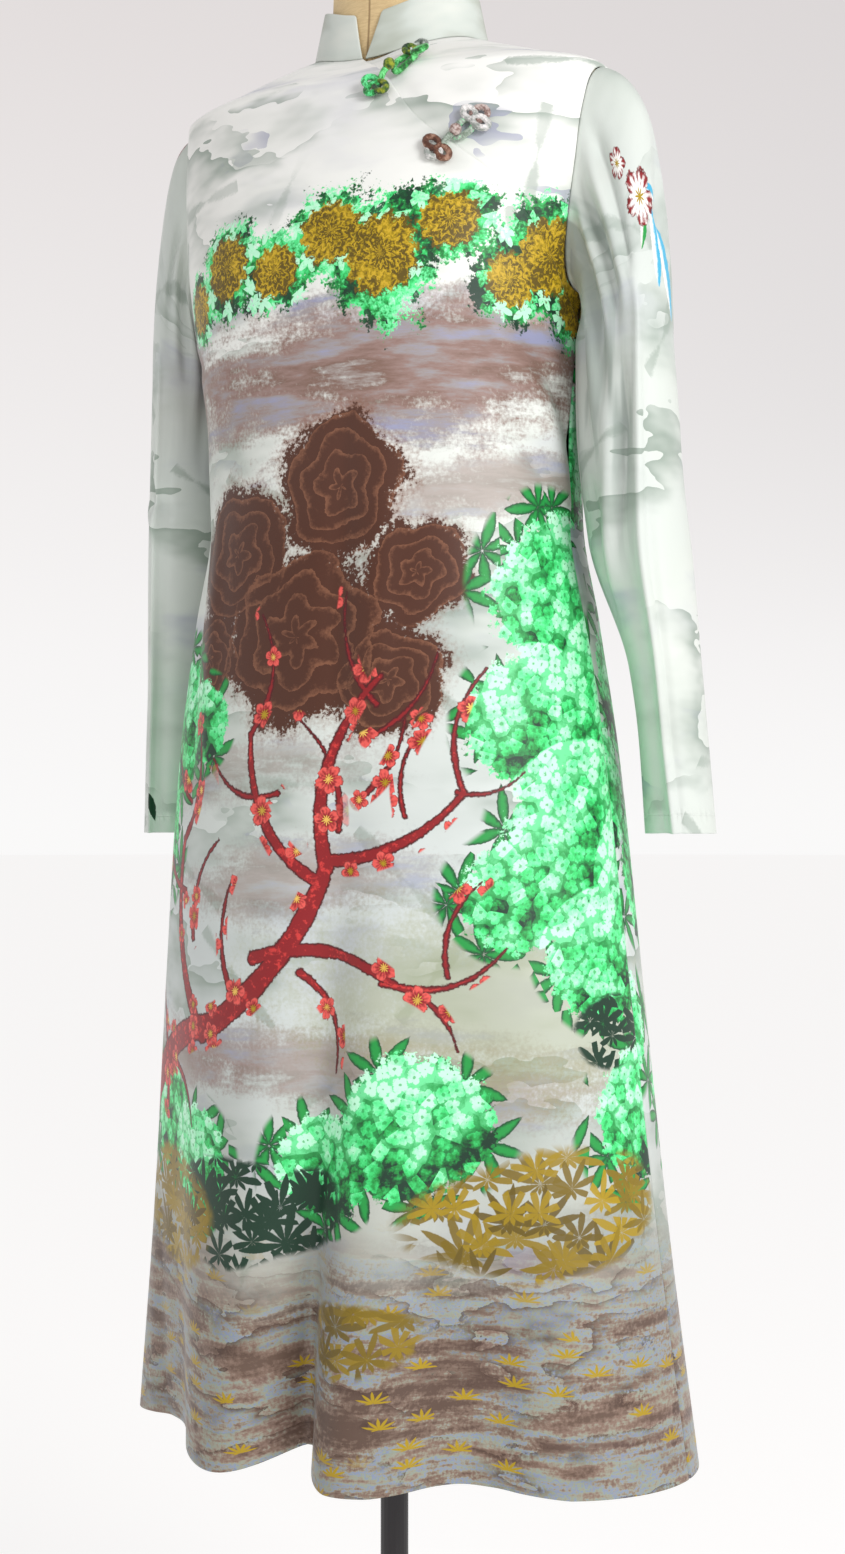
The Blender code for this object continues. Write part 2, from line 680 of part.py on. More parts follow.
def make_frog(frog, material):
    """A frog's two halves: petals, stem and round button, and petals with a ring under the button."""
    start = radians(frog.button_angle), frog.button_level
    end = radians(frog.loop_angle), frog.loop_level
    apart = tube_point(*end) - tube_point(*start)
    around = tube_point(start[0] + PROBE, start[1]) - tube_point(*start)
    rise = tube_point(start[0], start[1] + PROBE) - tube_point(*start)
    length = float(np.linalg.norm(apart))
    turn = float(np.arctan2(apart @ unit(rise), apart @ unit(around)))
    button_at = BUTTON_SHARE * length
    ring_height = CORD_RADIUS + FROG_GAP
    over_ring = ring_height + 2 * CORD_RADIUS + FROG_GAP

    name = f"frog_{frog.name}_button_half"
    frame = (*start, turn)
    pieces = petals(name, frame, True, material)
    path = np.linspace(0, button_at, STEM_POINTS)
    risen_by = button_at - RING_RADIUS - STEM_CLEARANCE * CORD_RADIUS
    heights = ring_height + (over_ring - ring_height) * ease(path / risen_by)
    stem = cord(name + " stem", on_cloth(frame, path, 0 * path, heights), False, material)
    top_height = np.array([over_ring + BUTTON_RISE])
    top = on_cloth(frame, np.array([button_at]), np.zeros(1), top_height)[0]
    form = bmesh.new()
    bmesh.ops.create_uvsphere(form, u_segments=10, v_segments=6, radius=BUTTON_RADIUS)
    bmesh.ops.translate(form, verts=form.verts, vec=Vector(top))
    ball_mesh = bpy.data.meshes.new(name + " button")
    form.to_mesh(ball_mesh)
    form.free()
    ball = add_object(name + " button", ball_mesh, material)
    whole = joined(pieces[0], [*pieces[1:], stem, ball])
    whole.name = name

    name = f"frog_{frog.name}_loop_half"
    frame = (*end, turn)
    pieces = petals(name, frame, False, material)
    share = np.arange(PETAL_POINTS) * 2 * pi / PETAL_POINTS + PETAL_START
    reach = length - button_at
    out = (reach + RING_RADIUS) / 2 * (1 - np.cos(share))
    side = RING_NARROWING * RING_RADIUS * np.sin(share)
    ring = cord(
        name + " ring", on_cloth(frame, -out, side, ring_height + 0 * out), True, material
    )
    whole = joined(pieces[0], [*pieces[1:], ring])
    whole.name = name


def form_clearance(angle, level):
    """How far the form lies inside the cloth's inner face: it carries the cloth only at the shoulders."""
    hips = HIP_CLEARANCE * ease((HIP_CLEARANCE_TOP - level) / HIP_CLEARANCE_FADE)
    chest = CHEST_CLEARANCE * ease((CHEST_CLEARANCE_TOP - level) / CHEST_CLEARANCE_FADE)
    front = FRONT_CLEARANCE * np.clip(np.cos(angle), 0, 1) ** 0.5
    return FORM_CLEARANCE + hips + chest + front


def make_form(material):
    """The torso and neck of the form, closed and plain."""
    angles = np.arange(FORM_COLUMNS) * 2 * pi / FORM_COLUMNS
    rings = []
    for level in FORM_LEVELS:
        even = spread(0, 2 * pi, level, FORM_COLUMNS)[:-1]
        levels = np.full(FORM_COLUMNS, level)
        inset = CLOTH + form_clearance(even, level)
        rings.append(
            tube_point(even, levels, folded=False)
            - inset[:, None] * tube_normal(even, levels, folded=False)
        )
    rings[0][:, 2] = FORM_BOTTOM
    neck_y = GIRTHS[-1].centre_y
    for ring in NECK_RINGS:
        x = NECK_RADIUS_X * ring.share * np.sin(angles)
        y = neck_y - NECK_RADIUS_Y * ring.share * np.cos(angles)
        rings.append(np.stack([x, y, ring.z - ring.tilt * np.cos(angles)], 1))
    form = bmesh.new()
    verts = [[form.verts.new(p) for p in ring] for ring in rings]
    for low, high in zip(verts, verts[1:]):
        for j in range(FORM_COLUMNS):
            k = (j + 1) % FORM_COLUMNS
            form.faces.new((low[j], low[k], high[k], high[j]))
    form.faces.new(verts[0])
    form.faces.new(verts[-1])
    bmesh.ops.recalc_face_normals(form, faces=form.faces)
    mesh = bpy.data.meshes.new("dress_form")
    form.to_mesh(mesh)
    form.free()
    mesh.shade_smooth()
    mesh.set_sharp_from_angle(angle=radians(45))
    return add_object("dress_form", mesh, material)


def make_stand(material):
    """A plain tube from the form's underside down into a round flat base."""
    form = bmesh.new()
    bmesh.ops.create_cone(
        form,
        cap_ends=True,
        segments=BASE_SIDES,
        radius1=BASE_RADIUS,
        radius2=BASE_RADIUS,
        depth=BASE_HEIGHT,
    )
    bmesh.ops.translate(form, verts=form.verts, vec=(0, 0, BASE_HEIGHT / 2))
    base_mesh = bpy.data.meshes.new("stand_base")
    form.to_mesh(base_mesh)
    form.free()
    base = add_object("stand_base", base_mesh, material)
    bevel = base.modifiers.new("rounded rim", "BEVEL")
    bevel.width = BASE_BEVEL
    bevel.segments = 2
    bevel.limit_method = "ANGLE"
    low, high = BASE_HEIGHT + SEAM_GAP, FORM_BOTTOM - SEAM_GAP
    form = bmesh.new()
    bmesh.ops.create_cone(
        form,
        cap_ends=True,
        segments=POLE_SIDES,
        radius1=POLE_RADIUS,
        radius2=POLE_RADIUS,
        depth=high - low,
    )
    bmesh.ops.translate(form, verts=form.verts, vec=(0, 0, (high + low) / 2))
    pole_mesh = bpy.data.meshes.new("stand_pole")
    form.to_mesh(pole_mesh)
    form.free()
    pole_mesh.shade_smooth()
    pole_mesh.set_sharp_from_angle(angle=radians(40))
    return base, add_object("stand_pole", pole_mesh, material)


def material(name, colour, roughness, metallic=0.0):
    made = bpy.data.materials.new(name)
    made.use_nodes = True
    shader = made.node_tree.nodes["Principled BSDF"]
    shader.inputs["Base Color"].default_value = (*colour, 1)
    shader.inputs["Roughness"].default_value = roughness
    shader.inputs["Metallic"].default_value = metallic
    return made


for old in list(bpy.data.objects):
    bpy.data.objects.remove(old)
PARTS = bpy.data.collections.new("dress on form")
CUTTERS = bpy.data.collections.new("cutters")
bpy.context.scene.collection.children.link(PARTS)
bpy.context.scene.collection.children.link(CUTTERS)

printed_cloth = material("printed_cloth", (0.62, 0.68, 0.62), 0.6)
green_cord = material("green_cord", (0.10, 0.36, 0.14), 0.55)
brown_cord = material("brown_cord", (0.36, 0.27, 0.22), 0.55)
form_cover = material("form_cover", (0.62, 0.40, 0.18), 0.55)
stand_paint = material("stand_paint", (0.02, 0.02, 0.03), 0.4, 0.3)

make_front(printed_cloth)
make_underlap(printed_cloth)
make_back(printed_cloth)
make_sleeve("sleeve_left", LEFT_SLEEVE, LEFT_SLEEVE_HEAD, 1, printed_cloth)
make_sleeve("sleeve_right", RIGHT_SLEEVE, RIGHT_SLEEVE_HEAD, -1, printed_cloth)
make_collar(printed_cloth)
for frog, cord_cloth in zip(FROGS, (green_cord, brown_cord)):
    make_frog(frog, cord_cloth)
make_form(form_cover)
make_stand(stand_paint)
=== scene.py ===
# Long-sleeved printed dress on a limbless dress form. Metres, +Z up; the front faces -Y, the wearer's left is +X.
import json
from functools import reduce
from math import cos, pi, radians, sin

import bmesh
import bpy
import numpy as np
from mathutils import Matrix, Vector

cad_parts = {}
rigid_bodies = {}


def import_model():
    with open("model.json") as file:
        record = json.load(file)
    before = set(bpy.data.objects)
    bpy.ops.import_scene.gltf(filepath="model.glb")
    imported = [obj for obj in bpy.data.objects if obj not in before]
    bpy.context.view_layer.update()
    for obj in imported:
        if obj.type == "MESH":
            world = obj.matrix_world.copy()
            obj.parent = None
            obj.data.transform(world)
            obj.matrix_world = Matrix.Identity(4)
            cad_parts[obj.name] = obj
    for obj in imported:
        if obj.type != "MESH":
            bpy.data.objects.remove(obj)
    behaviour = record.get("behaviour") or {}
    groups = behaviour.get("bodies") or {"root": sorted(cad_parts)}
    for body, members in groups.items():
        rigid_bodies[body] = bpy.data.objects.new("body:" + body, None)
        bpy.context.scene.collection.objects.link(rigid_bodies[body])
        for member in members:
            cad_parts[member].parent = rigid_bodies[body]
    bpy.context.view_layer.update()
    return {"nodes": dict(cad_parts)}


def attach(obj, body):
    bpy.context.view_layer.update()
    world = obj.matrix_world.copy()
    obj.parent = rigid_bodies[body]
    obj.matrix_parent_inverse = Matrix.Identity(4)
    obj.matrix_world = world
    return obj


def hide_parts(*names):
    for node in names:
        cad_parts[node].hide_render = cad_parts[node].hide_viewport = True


for old in list(bpy.data.objects):
    bpy.data.objects.remove(old)
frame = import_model()
print("frame loaded:", len(frame["nodes"]), "nodes")

# camera, found from the photograph's shoulders, cuffs, waist and hem
camera = {"azimuth": 29.43, "distance": 1.7596, "height": 0.8215, "yaw": -0.72, "pitch": 1.24, "lens": 51.23}


def addObject(name, data):
    thing = bpy.data.objects.new(name, data)
    bpy.context.scene.collection.objects.link(thing)
    return thing


def addCamera():
    at = radians(camera["azimuth"])
    facing, pitch = at + radians(camera["yaw"]), radians(camera["pitch"])
    forward = Vector((-sin(facing) * cos(pitch), cos(facing) * cos(pitch), sin(pitch)))
    right = Vector((cos(facing), sin(facing), 0))
    data = bpy.data.cameras.new("camera")
    data.lens, data.sensor_width, data.clip_start = camera["lens"], 36, 0.05
    eye = addObject("camera", data)
    turned = Matrix((right, right.cross(forward), -forward)).transposed()
    place = (camera["distance"] * sin(at), -camera["distance"] * cos(at), camera["height"])
    eye.matrix_world = Matrix.Translation(place) @ turned.to_4x4()
    bpy.context.scene.camera = eye


addCamera()

# the dress's levels run up the body and then along the shoulder to the neckline
levels = {"hem": 0.34, "closingCorner": 1.203, "underarm": 1.225, "shoulder": 1.395, "neck": 1.495}
cloth = {"thick": 0.0011, "seamGap": 0.0003, "hemLift": 0.33, "hemLiftHeight": 0.3}

# girths: level, half width, depth in front and behind, side seam's y and squareness; over the shoulder a
# level isn't a height any more, so the heights at the side, front and back follow
girthColumns = ("level", "halfWidth", "front", "back", "centreY", "square", "sideZ", "frontZ", "backZ")
girths = (
    (0.34, 0.236, 0.165, 0.172, 0.0, 2.0), (0.5, 0.218, 0.158, 0.163, 0.0, 2.0),
    (0.69, 0.2, 0.149, 0.154, 0.0, 2.05), (0.88, 0.181, 0.138, 0.144, 0.0, 2.1),
    (0.98, 0.166, 0.127, 0.13, 0.0, 2.15), (1.06, 0.154, 0.117, 0.112, 0.0, 2.2),
    (1.13, 0.155, 0.122, 0.107, 0.0, 2.15), (1.2, 0.162, 0.133, 0.109, 0.0, 2.1),
    (1.25, 0.171, 0.134, 0.112, 0.0, 2.05), (1.3, 0.18, 0.123, 0.116, -0.001, 2.05),
    (1.35, 0.185, 0.102, 0.112, -0.003, 2.1), (1.395, 0.187, 0.076, 0.096, -0.005, 2.15),
    (1.43, 0.151, 0.07, 0.085, 0.0, 2.1, 1.4105, 1.405, 1.415),
    (1.465, 0.108, 0.066, 0.073, 0.006, 2.05, 1.426, 1.413, 1.432),
    (1.495, 0.073, 0.062, 0.062, 0.012, 2.0, 1.44, 1.42, 1.446),
)
girths = np.array([row + row[:1] * (len(girthColumns) - len(row)) for row in girths])

# hanging folds: angle at the hem and at the top, reach at the hem, half width in degrees, top, growth
folds = (
    (-5, 16, -0.054, 10, 0.92, 1.4), (-22, -6, 0.002, 9, 0.9, 1.4), (-59, -58, -0.04, 20, 1.0, 2.0),
    (-90, -84, 0.004, 16, 1.05, 0.9), (15, 30, 0.005, 9, 0.88, 1.4), (46, 45, -0.026, 15, 0.85, 1.4),
    (88, 86, 0.014, 24, 0.95, 1.2), (131, 128, -0.02, 11, 0.92, 1.4), (150, 148, 0.008, 10, 0.88, 1.4),
    (171, 172, -0.024, 11, 0.95, 1.4), (191, 190, 0.01, 11, 0.88, 1.4), (212, 210, -0.022, 11, 0.92, 1.4),
    (236, 235, 0.009, 12, 0.88, 1.4),
)

# the bust's two points: angle, level, reach, half width in degrees, half height
busts = ((38, 1.232, 0.006, 24, 0.062), (-38, 1.232, 0.006, 24, 0.062))

# how far the armhole's edge lies inside the widest point: level, front, back
armhole = np.array((
    (1.225, 0.0, 0.0), (1.232, 0.002, 0.004), (1.25, 0.0042, 0.0075), (1.3, 0.0068, 0.0085),
    (1.34, 0.0068, 0.008), (1.375, 0.0048, 0.0055), (1.39, 0.002, 0.0022), (1.395, 0.0, 0.0),
))

# the front's slanting edge: level, angle
closing = np.array((
    (1.203, 90.0), (1.223, 80.5), (1.24, 75.5), (1.268, 67.5), (1.295, 60.0), (1.318, 51.0), (1.34, 41.5),
    (1.37, 32.0), (1.395, 25.0), (1.43, 17.0), (1.465, 8.0), (1.495, 0.0),
))


def curveThrough(xs, ys, at):
    # smooth, and never past the values it goes through
    steps, rises = np.diff(xs), np.diff(ys) / np.diff(xs)
    slopes = np.zeros(len(xs))
    slopes[0], slopes[-1] = rises[0], rises[-1]
    for i in range(1, len(xs) - 1):
        if rises[i - 1] * rises[i] > 0:
            first, second = 2 * steps[i] + steps[i - 1], steps[i] + 2 * steps[i - 1]
            slopes[i] = (first + second) / (first / rises[i - 1] + second / rises[i])
    at = np.clip(np.asarray(at, float), xs[0], xs[-1])
    i = np.clip(np.searchsorted(xs, at) - 1, 0, len(xs) - 2)
    t = (at - xs[i]) / steps[i]
    bend = slopes[i] * t * (1 - t) ** 2 - slopes[i + 1] * t * t * (1 - t)
    return ys[i] * (1 + 2 * t) * (1 - t) ** 2 + ys[i + 1] * t * t * (3 - 2 * t) + steps[i] * bend


def girth(name, level):
    return curveThrough(girths[:, 0], girths[:, girthColumns.index(name)], level)


def ease(share):
    share = np.clip(share, 0, 1)
    return share * share * (3 - 2 * share)


def turnBetween(angle, other):
    return (angle - other + pi) % (2 * pi) - pi


def unit(vectors):
    return vectors / np.linalg.norm(vectors, axis=-1, keepdims=True)


def runAlong(points):
    # how far along the line each point lies
    return np.concatenate([[0], np.cumsum(np.linalg.norm(np.diff(points, axis=0), axis=1))])


def metres(table):
    # a table written in millimetres
    return tuple(metres(v) if isinstance(v, tuple) else v / 1000 for v in table)


def foldReach(angle, level):
    total = np.zeros(np.broadcast(angle, level).shape)
    for hemAngle, topAngle, reach, halfAngle, top, growth in folds:
        share = np.clip((top - level) / (top - levels["hem"]), 0, 1)
        middle = radians(topAngle) + share * radians(hemAngle - topAngle)
        across = turnBetween(angle, middle) / radians(halfAngle)
        total = total + reach * share**growth * np.exp(-(across**2))
    return total


def bustReach(angle, level):
    total = np.zeros(np.broadcast(angle, level).shape)
    for at, height, reach, halfAngle, halfHeight in busts:
        across = turnBetween(angle, radians(at)) / radians(halfAngle)
        total = total + reach * np.exp(-(across**2) - ((level - height) / halfHeight) ** 2)
    return total


def tubePoint(angle, level, folded=True):
    # a point of the dress's body from its angle round it (0 at the centre front) and its level
    angle, level = np.asarray(angle, float), np.asarray(level, float)
    front, side = np.cos(angle), np.sin(angle)
    square = girth("square", level)
    depth = np.where(front > 0, girth("front", level), girth("back", level))
    radius = (
        np.abs(side / girth("halfWidth", level)) ** square + np.abs(front / depth) ** square
    ) ** (-1 / square)
    radius = radius + bustReach(angle, level)
    z = (
        girth("sideZ", level) * side**2
        + girth("frontZ", level) * np.where(front > 0, front, 0) ** 2
        + girth("backZ", level) * np.where(front < 0, front, 0) ** 2
    )
    if folded:
        reach = foldReach(angle, level)
        radius = radius + reach
        down = 1 - (level - levels["hem"]) / cloth["hemLiftHeight"]
        z = z + cloth["hemLift"] * np.clip(-reach, 0, 1) * ease(down)
    return np.stack([radius * side, girth("centreY", level) - radius * front, z + 0 * angle], -1)


def tubeNormal(angle, level, folded=True):
    step = 1e-4
    along = tubePoint(angle, level + step, folded) - tubePoint(angle, level - step, folded)
    around = tubePoint(angle + step, level, folded) - tubePoint(angle - step, level, folded)
    return unit(np.cross(around, along))


def armholeAngle(level, behind=False):
    if level <= levels["underarm"] or level >= levels["shoulder"]:
        return pi / 2
    inset = curveThrough(armhole[:, 0], armhole[:, 2 if behind else 1], level)
    angles = np.linspace(pi / 2, pi if behind else 0, 300)
    xs = tubePoint(angles, level)[:, 0]
    return float(np.interp(inset - girth("halfWidth", level), -xs, angles))


def closingAngle(level):
    return radians(float(curveThrough(closing[:, 0], closing[:, 1], level)))


def strokeReach(places, strokes):
    # the sum of soft troughs and ridges; a stroke is (depth, half width, points), and it fades at both ends
    total = np.zeros(places.shape[:-1])
    for depth, halfWidth, *points in strokes:
        ends = np.array(points, float)
        t = np.linspace(0, 1, 13)[:, None]
        if len(ends) == 2:
            line = ends[0] * (1 - t) + ends[1] * t
        else:
            bend = 2 * ends[1] - (ends[0] + ends[2]) / 2
            line = ends[0] * (1 - t) ** 2 + 2 * bend * t * (1 - t) + ends[2] * t * t
        nearest = np.full(total.shape, 1e9)
        along = np.zeros(total.shape)
        for k in range(12):
            way = line[k + 1] - line[k]
            off = places - line[k]
            share = np.clip((off @ way) / (way @ way), 0, 1)
            gap = np.linalg.norm(off - share[..., None] * way, axis=-1)
            closer = gap < nearest
            nearest = np.where(closer, gap, nearest)
            along = np.where(closer, (k + share) / 12, along)
        fade = np.clip(4 * along * (1 - along), 0, 1) ** 0.8
        total += depth * fade * np.exp(-((nearest / (halfWidth * (0.55 + 0.45 * fade))) ** 2))
    return total


def rowAngles(start, end, level, columns):
    # angles that lie evenly along the cloth, and closer together at both edges
    many = np.linspace(start, end, 4 * columns)
    run = runAlong(tubePoint(many, level))
    near = np.array([0, 0.0008, 0.0016, 0.0026, 0.004, 0.006])
    middle = np.linspace(0.0085, run[-1] - 0.0085, columns - 2 * len(near))
    at = np.concatenate([near, middle, run[-1] - near[::-1]])
    return np.interp(at, run, many), at, run[-1]


def quads(grid):
    # the four corners of each square of a grid
    return np.stack([grid[:-1, :-1], grid[:-1, 1:], grid[1:, 1:], grid[1:, :-1]], 2)


def gridFaces(rows, columns, ring=False, endless=False):
    # faces for a grid of points; a ring joins its last column to the first, and an endless one its last row too
    index = np.arange(rows * columns).reshape(rows, columns)
    index = np.concatenate([index, index[:, :1]], axis=1) if ring else index
    index = np.concatenate([index, index[:1]]) if endless else index
    return quads(index).reshape(-1, 4).tolist()


def makeObject(name, points, faces, flatCloth=None, work=None):
    # flatCloth has a place for each corner of each face, and work is a bmesh pass over the mesh
    mesh = bpy.data.meshes.new(name)
    mesh.from_pydata(np.reshape(points, (-1, 3)).tolist(), [], faces)
    if flatCloth is not None:
        mesh.uv_layers.new(name="flatCloth").data.foreach_set("uv", np.ravel(flatCloth))
    if work:
        form = bmesh.new()
        form.from_mesh(mesh)
        work(form)
        form.to_mesh(mesh)
        form.free()
    mesh.shade_smooth()
    return addObject(name, mesh)


def clothMesh(name, points, uv, ring=False, work=None):
    # one sheet of quads through a grid of points, with the flat cloth's own metres as its map
    if ring:
        uv = np.concatenate([uv, uv[:, -1:] + uv[:, 1:2] - uv[:, :1]], axis=1)
    return makeObject(name, points, gridFaces(*points.shape[:2], ring), quads(uv), work)


# creases are in millimetres on the flat cloth: depth, half width, then three points across and up
frontPanel = {
    "columns": 176,
    "rowStep": 0.0052,
    "seamDip": 0.0017,
    # a seam on the right, and on the left a seam up to the corner and a folded edge above it
    "edges": lambda level: (1, np.where(level > levels["closingCorner"], 0.2, 1)),
    "creases": (
        (4.3, 10, (128, 866), (178, 800), (224, 700)), (-3.5, 8, (152, 868), (202, 806), (240, 715)),
        (-1.9, 9, (104, 852), (156, 780), (206, 680)), (-4.1, 13, (26, 810), (20, 650), (36, 500)),
        (2.2, 13, (60, 800), (52, 660), (66, 540)), (-3.2, 10, (-165, 760), (-142, 640), (-128, 470)),
        (2.4, 12, (-118, 740), (-108, 620), (-100, 480)), (-1.9, 8, (-205, 880), (-165, 850), (-120, 845)),
        (2.4, 16, (245, 660), (238, 540), (252, 380)), (-2.2, 14, (200, 560), (196, 440), (206, 320)),
        (3, 14, (150, -60), (146, 80), (132, 220)), (-2.4, 12, (190, -60), (186, 70), (176, 190)),
        (-2.7, 14, (-230, -60), (-226, 60), (-214, 190)), (-1.6, 9, (-20, 1080), (20, 1040), (60, 1020)),
        (1.6, 10, (-60, 1070), (-20, 1020), (20, 990)),
    ),
}


def panelLevels(low, high, step):
    base = np.linspace(low, high, int(round((high - low) / step)) + 1)
    fine = [low + d for d in (0.0006, 0.0014, 0.0026)] if low == levels["hem"] else []
    marks = [levels["closingCorner"], levels["underarm"], levels["shoulder"]]
    marks = [m for m in marks if low < m < high]
    near = np.concatenate([m + np.array([-0.002, 0, 0.0015, 0.004]) for m in marks]) if marks else []
    return np.unique(np.round(np.concatenate([base, fine, near]), 6))


def runTo(middleAngle, angles, across, level):
    # how far along the row the middle lies, also where the row starts past it
    if angles[0] <= middleAngle:
        return np.interp(middleAngle, angles, across)
    steps = np.linspace(middleAngle, angles[0], 60)
    return -runAlong(tubePoint(steps, level))[-1]


def sew(name, settings, low, start, end, middleAngle, lift=None):
    # a body panel from its two edges; the flat map's u runs from middleAngle, its v up from the hem
    rows = panelLevels(low, levels["neck"], settings["rowStep"])
    angles, across, lengths = [], [], []
    for level in rows:
        a, at, length = rowAngles(start(level), end(level), level, settings["columns"])
        angles.append(a)
        across.append(at)
        lengths.append(length)
    angles, across = np.array(angles), np.array(across)
    lengths = np.array(lengths)[:, None]
    level = np.repeat(rows[:, None], angles.shape[1], axis=1)
    points, normals = tubePoint(angles, level), tubeNormal(angles, level)
    middle = np.array([runTo(middleAngle, a, x, v) for a, x, v in zip(angles, across, rows)])
    uv = np.stack([across - middle[:, None], level - levels["hem"]], -1)
    reach = strokeReach(uv, metres(settings["creases"]))
    for edge, fromEdge in zip(settings["edges"](level), (across, lengths - across)):
        reach = reach - edge * settings["seamDip"] * np.exp(-((fromEdge / 0.0009) ** 1.2))
    if lift is not None:
        reach = reach + lift(angles, level)
    points = points + reach[..., None] * normals
    return clothMesh(name, points, uv)


def halfGap(level):
    return cloth["seamGap"] / 2 / float(girth("halfWidth", level))


def frontRight(level):
    return -armholeAngle(level) + halfGap(level)


def frontLeft(level):
    if level <= levels["closingCorner"]:
        return pi / 2 - halfGap(level)
    return closingAngle(level) - halfGap(level)


front = sew("front panel", frontPanel, levels["hem"], frontRight, frontLeft, 0.0)
print("front sewn:", len(front.data.vertices), "points")

# the left chest and shoulder piece, under the front's edge
underlap = {
    "columns": 64,
    "rowStep": 0.005,
    "seamDip": 0.0017,
    "edges": lambda level: (0, 1),
    "reach": 0.015,
    "edgePlay": 0.008,
    "fade": 0.03,
    "drop": 0.0023,
    "creases": ((-1.2, 9, (110, 985), (80, 1010), (55, 1040)),),
}


def underlapLift(angle, level):
    past = (angle - np.radians(curveThrough(closing[:, 0], closing[:, 1], level))) * girth("halfWidth", level)
    return -underlap["drop"] * (1 - ease((past - underlap["edgePlay"]) / underlap["fade"]))


def underlapInner(level):
    width = float(girth("halfWidth", level))
    under = closingAngle(level + underlap["reach"]) - underlap["reach"] / 2 / width
    belowNeck = float(ease((levels["neck"] - level) / 0.03))
    return max(min(under, pi / 2 - 0.02 / width) * belowNeck, halfGap(level))


def underlapOuter(level):
    return armholeAngle(level) - halfGap(level)


underlapPiece = sew(
    "left front underlap", underlap, 1.19, underlapInner, underlapOuter, 0.0, underlapLift
)

backPanel = {
    "columns": 170,
    "rowStep": 0.0056,
    "seamDip": 0.0017,
    "edges": lambda level: (1, 1),
    "creases": (
        (-3.5, 12, (-66, 810), (-48, 670), (-44, 520)), (-3.2, 12, (62, 800), (50, 670), (40, 540)),
        (2.2, 13, (-20, 800), (-10, 660), (-6, 520)), (-2.2, 9, (-78, 742), (-10, 724), (64, 736)),
        (1.8, 10, (-100, 768), (-20, 752), (50, 764)), (-2.2, 10, (150, 905), (104, 850), (70, 800)),
        (-2, 10, (-155, 900), (-112, 850), (-78, 805)), (1.8, 12, (120, 960), (80, 900), (60, 850)),
        (-2.5, 14, (-200, -60), (-194, 100), (-180, 260)), (2.8, 14, (100, -60), (96, 120), (86, 300)),
        (-2.2, 12, (180, -60), (176, 80), (166, 220)),
    ),
}


def backLeft(level):
    return armholeAngle(level, True) + halfGap(level)


def backRight(level):
    return 2 * pi - armholeAngle(level, True) - halfGap(level)


back = sew("back panel", backPanel, levels["hem"], backLeft, backRight, pi)
print("body sewn")

# sleeves: rows are height, centre x, centre y, half thickness, half depth, and the front edge's turn outwards
leftSleeve = {
    "side": 1,
    "head": (0.22, 0.12),
    "rows": np.array((
        (0.815, 0.2305, 0.033, 0.027, 0.046, 22), (0.89, 0.2273, 0.026, 0.0262, 0.05, 19),
        (0.94, 0.2234, 0.021, 0.0275, 0.053, 20), (1.038, 0.2053, 0.013, 0.0385, 0.059, 28),
        (1.11, 0.1999, 0.006, 0.0385, 0.064, 33), (1.184, 0.1989, 0.0, 0.036, 0.067, 34),
    )),
    "creases": (  # round from the underarm by way of the front, and up from the cuff
        (-7.2, 6.5, (120, 512), (88, 480), (66, 410)), (6.7, 8, (100, 508), (72, 468), (56, 390)),
        (-7.2, 6, (82, 508), (58, 468), (47, 365)), (6.2, 7, (64, 500), (46, 450), (40, 350)),
        (-7.1, 6, (50, 495), (34, 440), (36, 320)), (5.6, 7, (34, 475), (24, 400), (30, 290)),
        (-6.2, 6.5, (22, 455), (12, 380), (22, 280)), (-5.6, 6, (52, 350), (50, 280), (36, 200)),
        (5.1, 7, (36, 320), (38, 250), (24, 170)), (-4.7, 6, (18, 270), (22, 220), (12, 150)),
        (4, 5.5, (70, 430), (66, 200), (61, -120)), (-3.6, 11, (50, 380), (48, 180), (44, -120)),
        (-2.5, 10, (84, 420), (82, 200), (78, -120)), (-4.7, 8, (150, 470), (132, 440), (112, 430)),
        (-6.2, 7, (205, 300), (238, 268), (275, 262)), (4.7, 8, (200, 275), (236, 250), (272, 244)),
        (-5.6, 7, (198, 252), (235, 232), (270, 228)), (-4, 8, (190, 500), (205, 440), (230, 400)),
    ),
}
rightSleeve = {
    "side": -1,
    "head": (0.17, 0.17),
    "rows": np.array((
        (0.815, 0.2205, 0.031, 0.025, 0.048, 10), (0.89, 0.2125, 0.025, 0.0255, 0.05, 10),
        (0.94, 0.2055, 0.021, 0.0265, 0.053, 10), (1.038, 0.1985, 0.016, 0.0285, 0.058, 8),
        (1.11, 0.1935, 0.012, 0.029, 0.062, 4), (1.184, 0.189, 0.008, 0.029, 0.066, 0),
    )),
    "creases": (
        (-5, 6, (104, 512), (76, 480), (60, 415)), (4.6, 7, (86, 508), (62, 465), (50, 390)),
        (-5, 6, (70, 505), (48, 460), (42, 370)), (4.2, 6.5, (52, 495), (36, 440), (34, 340)),
        (-4.6, 6, (40, 480), (24, 420), (28, 300)), (4.6, 5, (72, 400), (70, 200), (68, -120)),
        (-2.1, 9, (56, 360), (54, 180), (50, -120)), (-5, 7.5, (92, 300), (70, 276), (45, 268)),
        (3.4, 8, (96, 276), (72, 254), (46, 248)), (-4.6, 7, (205, 290), (238, 262), (275, 256)),
        (3.8, 8, (200, 266), (236, 244), (272, 240)), (-4.2, 7, (198, 244), (235, 226), (270, 222)),
        (-3.4, 8, (185, 490), (202, 440), (228, 396)),
    ),
}
sleeveGrid = {"armRows": 22, "capRows": 34, "sleeveRows": 96, "clearance": 0.0035, "edge": 1.25, "girth": 0.3,
              "columns": 118, "pull": 0.42, "tucks": (0.0024, 0.0009)}


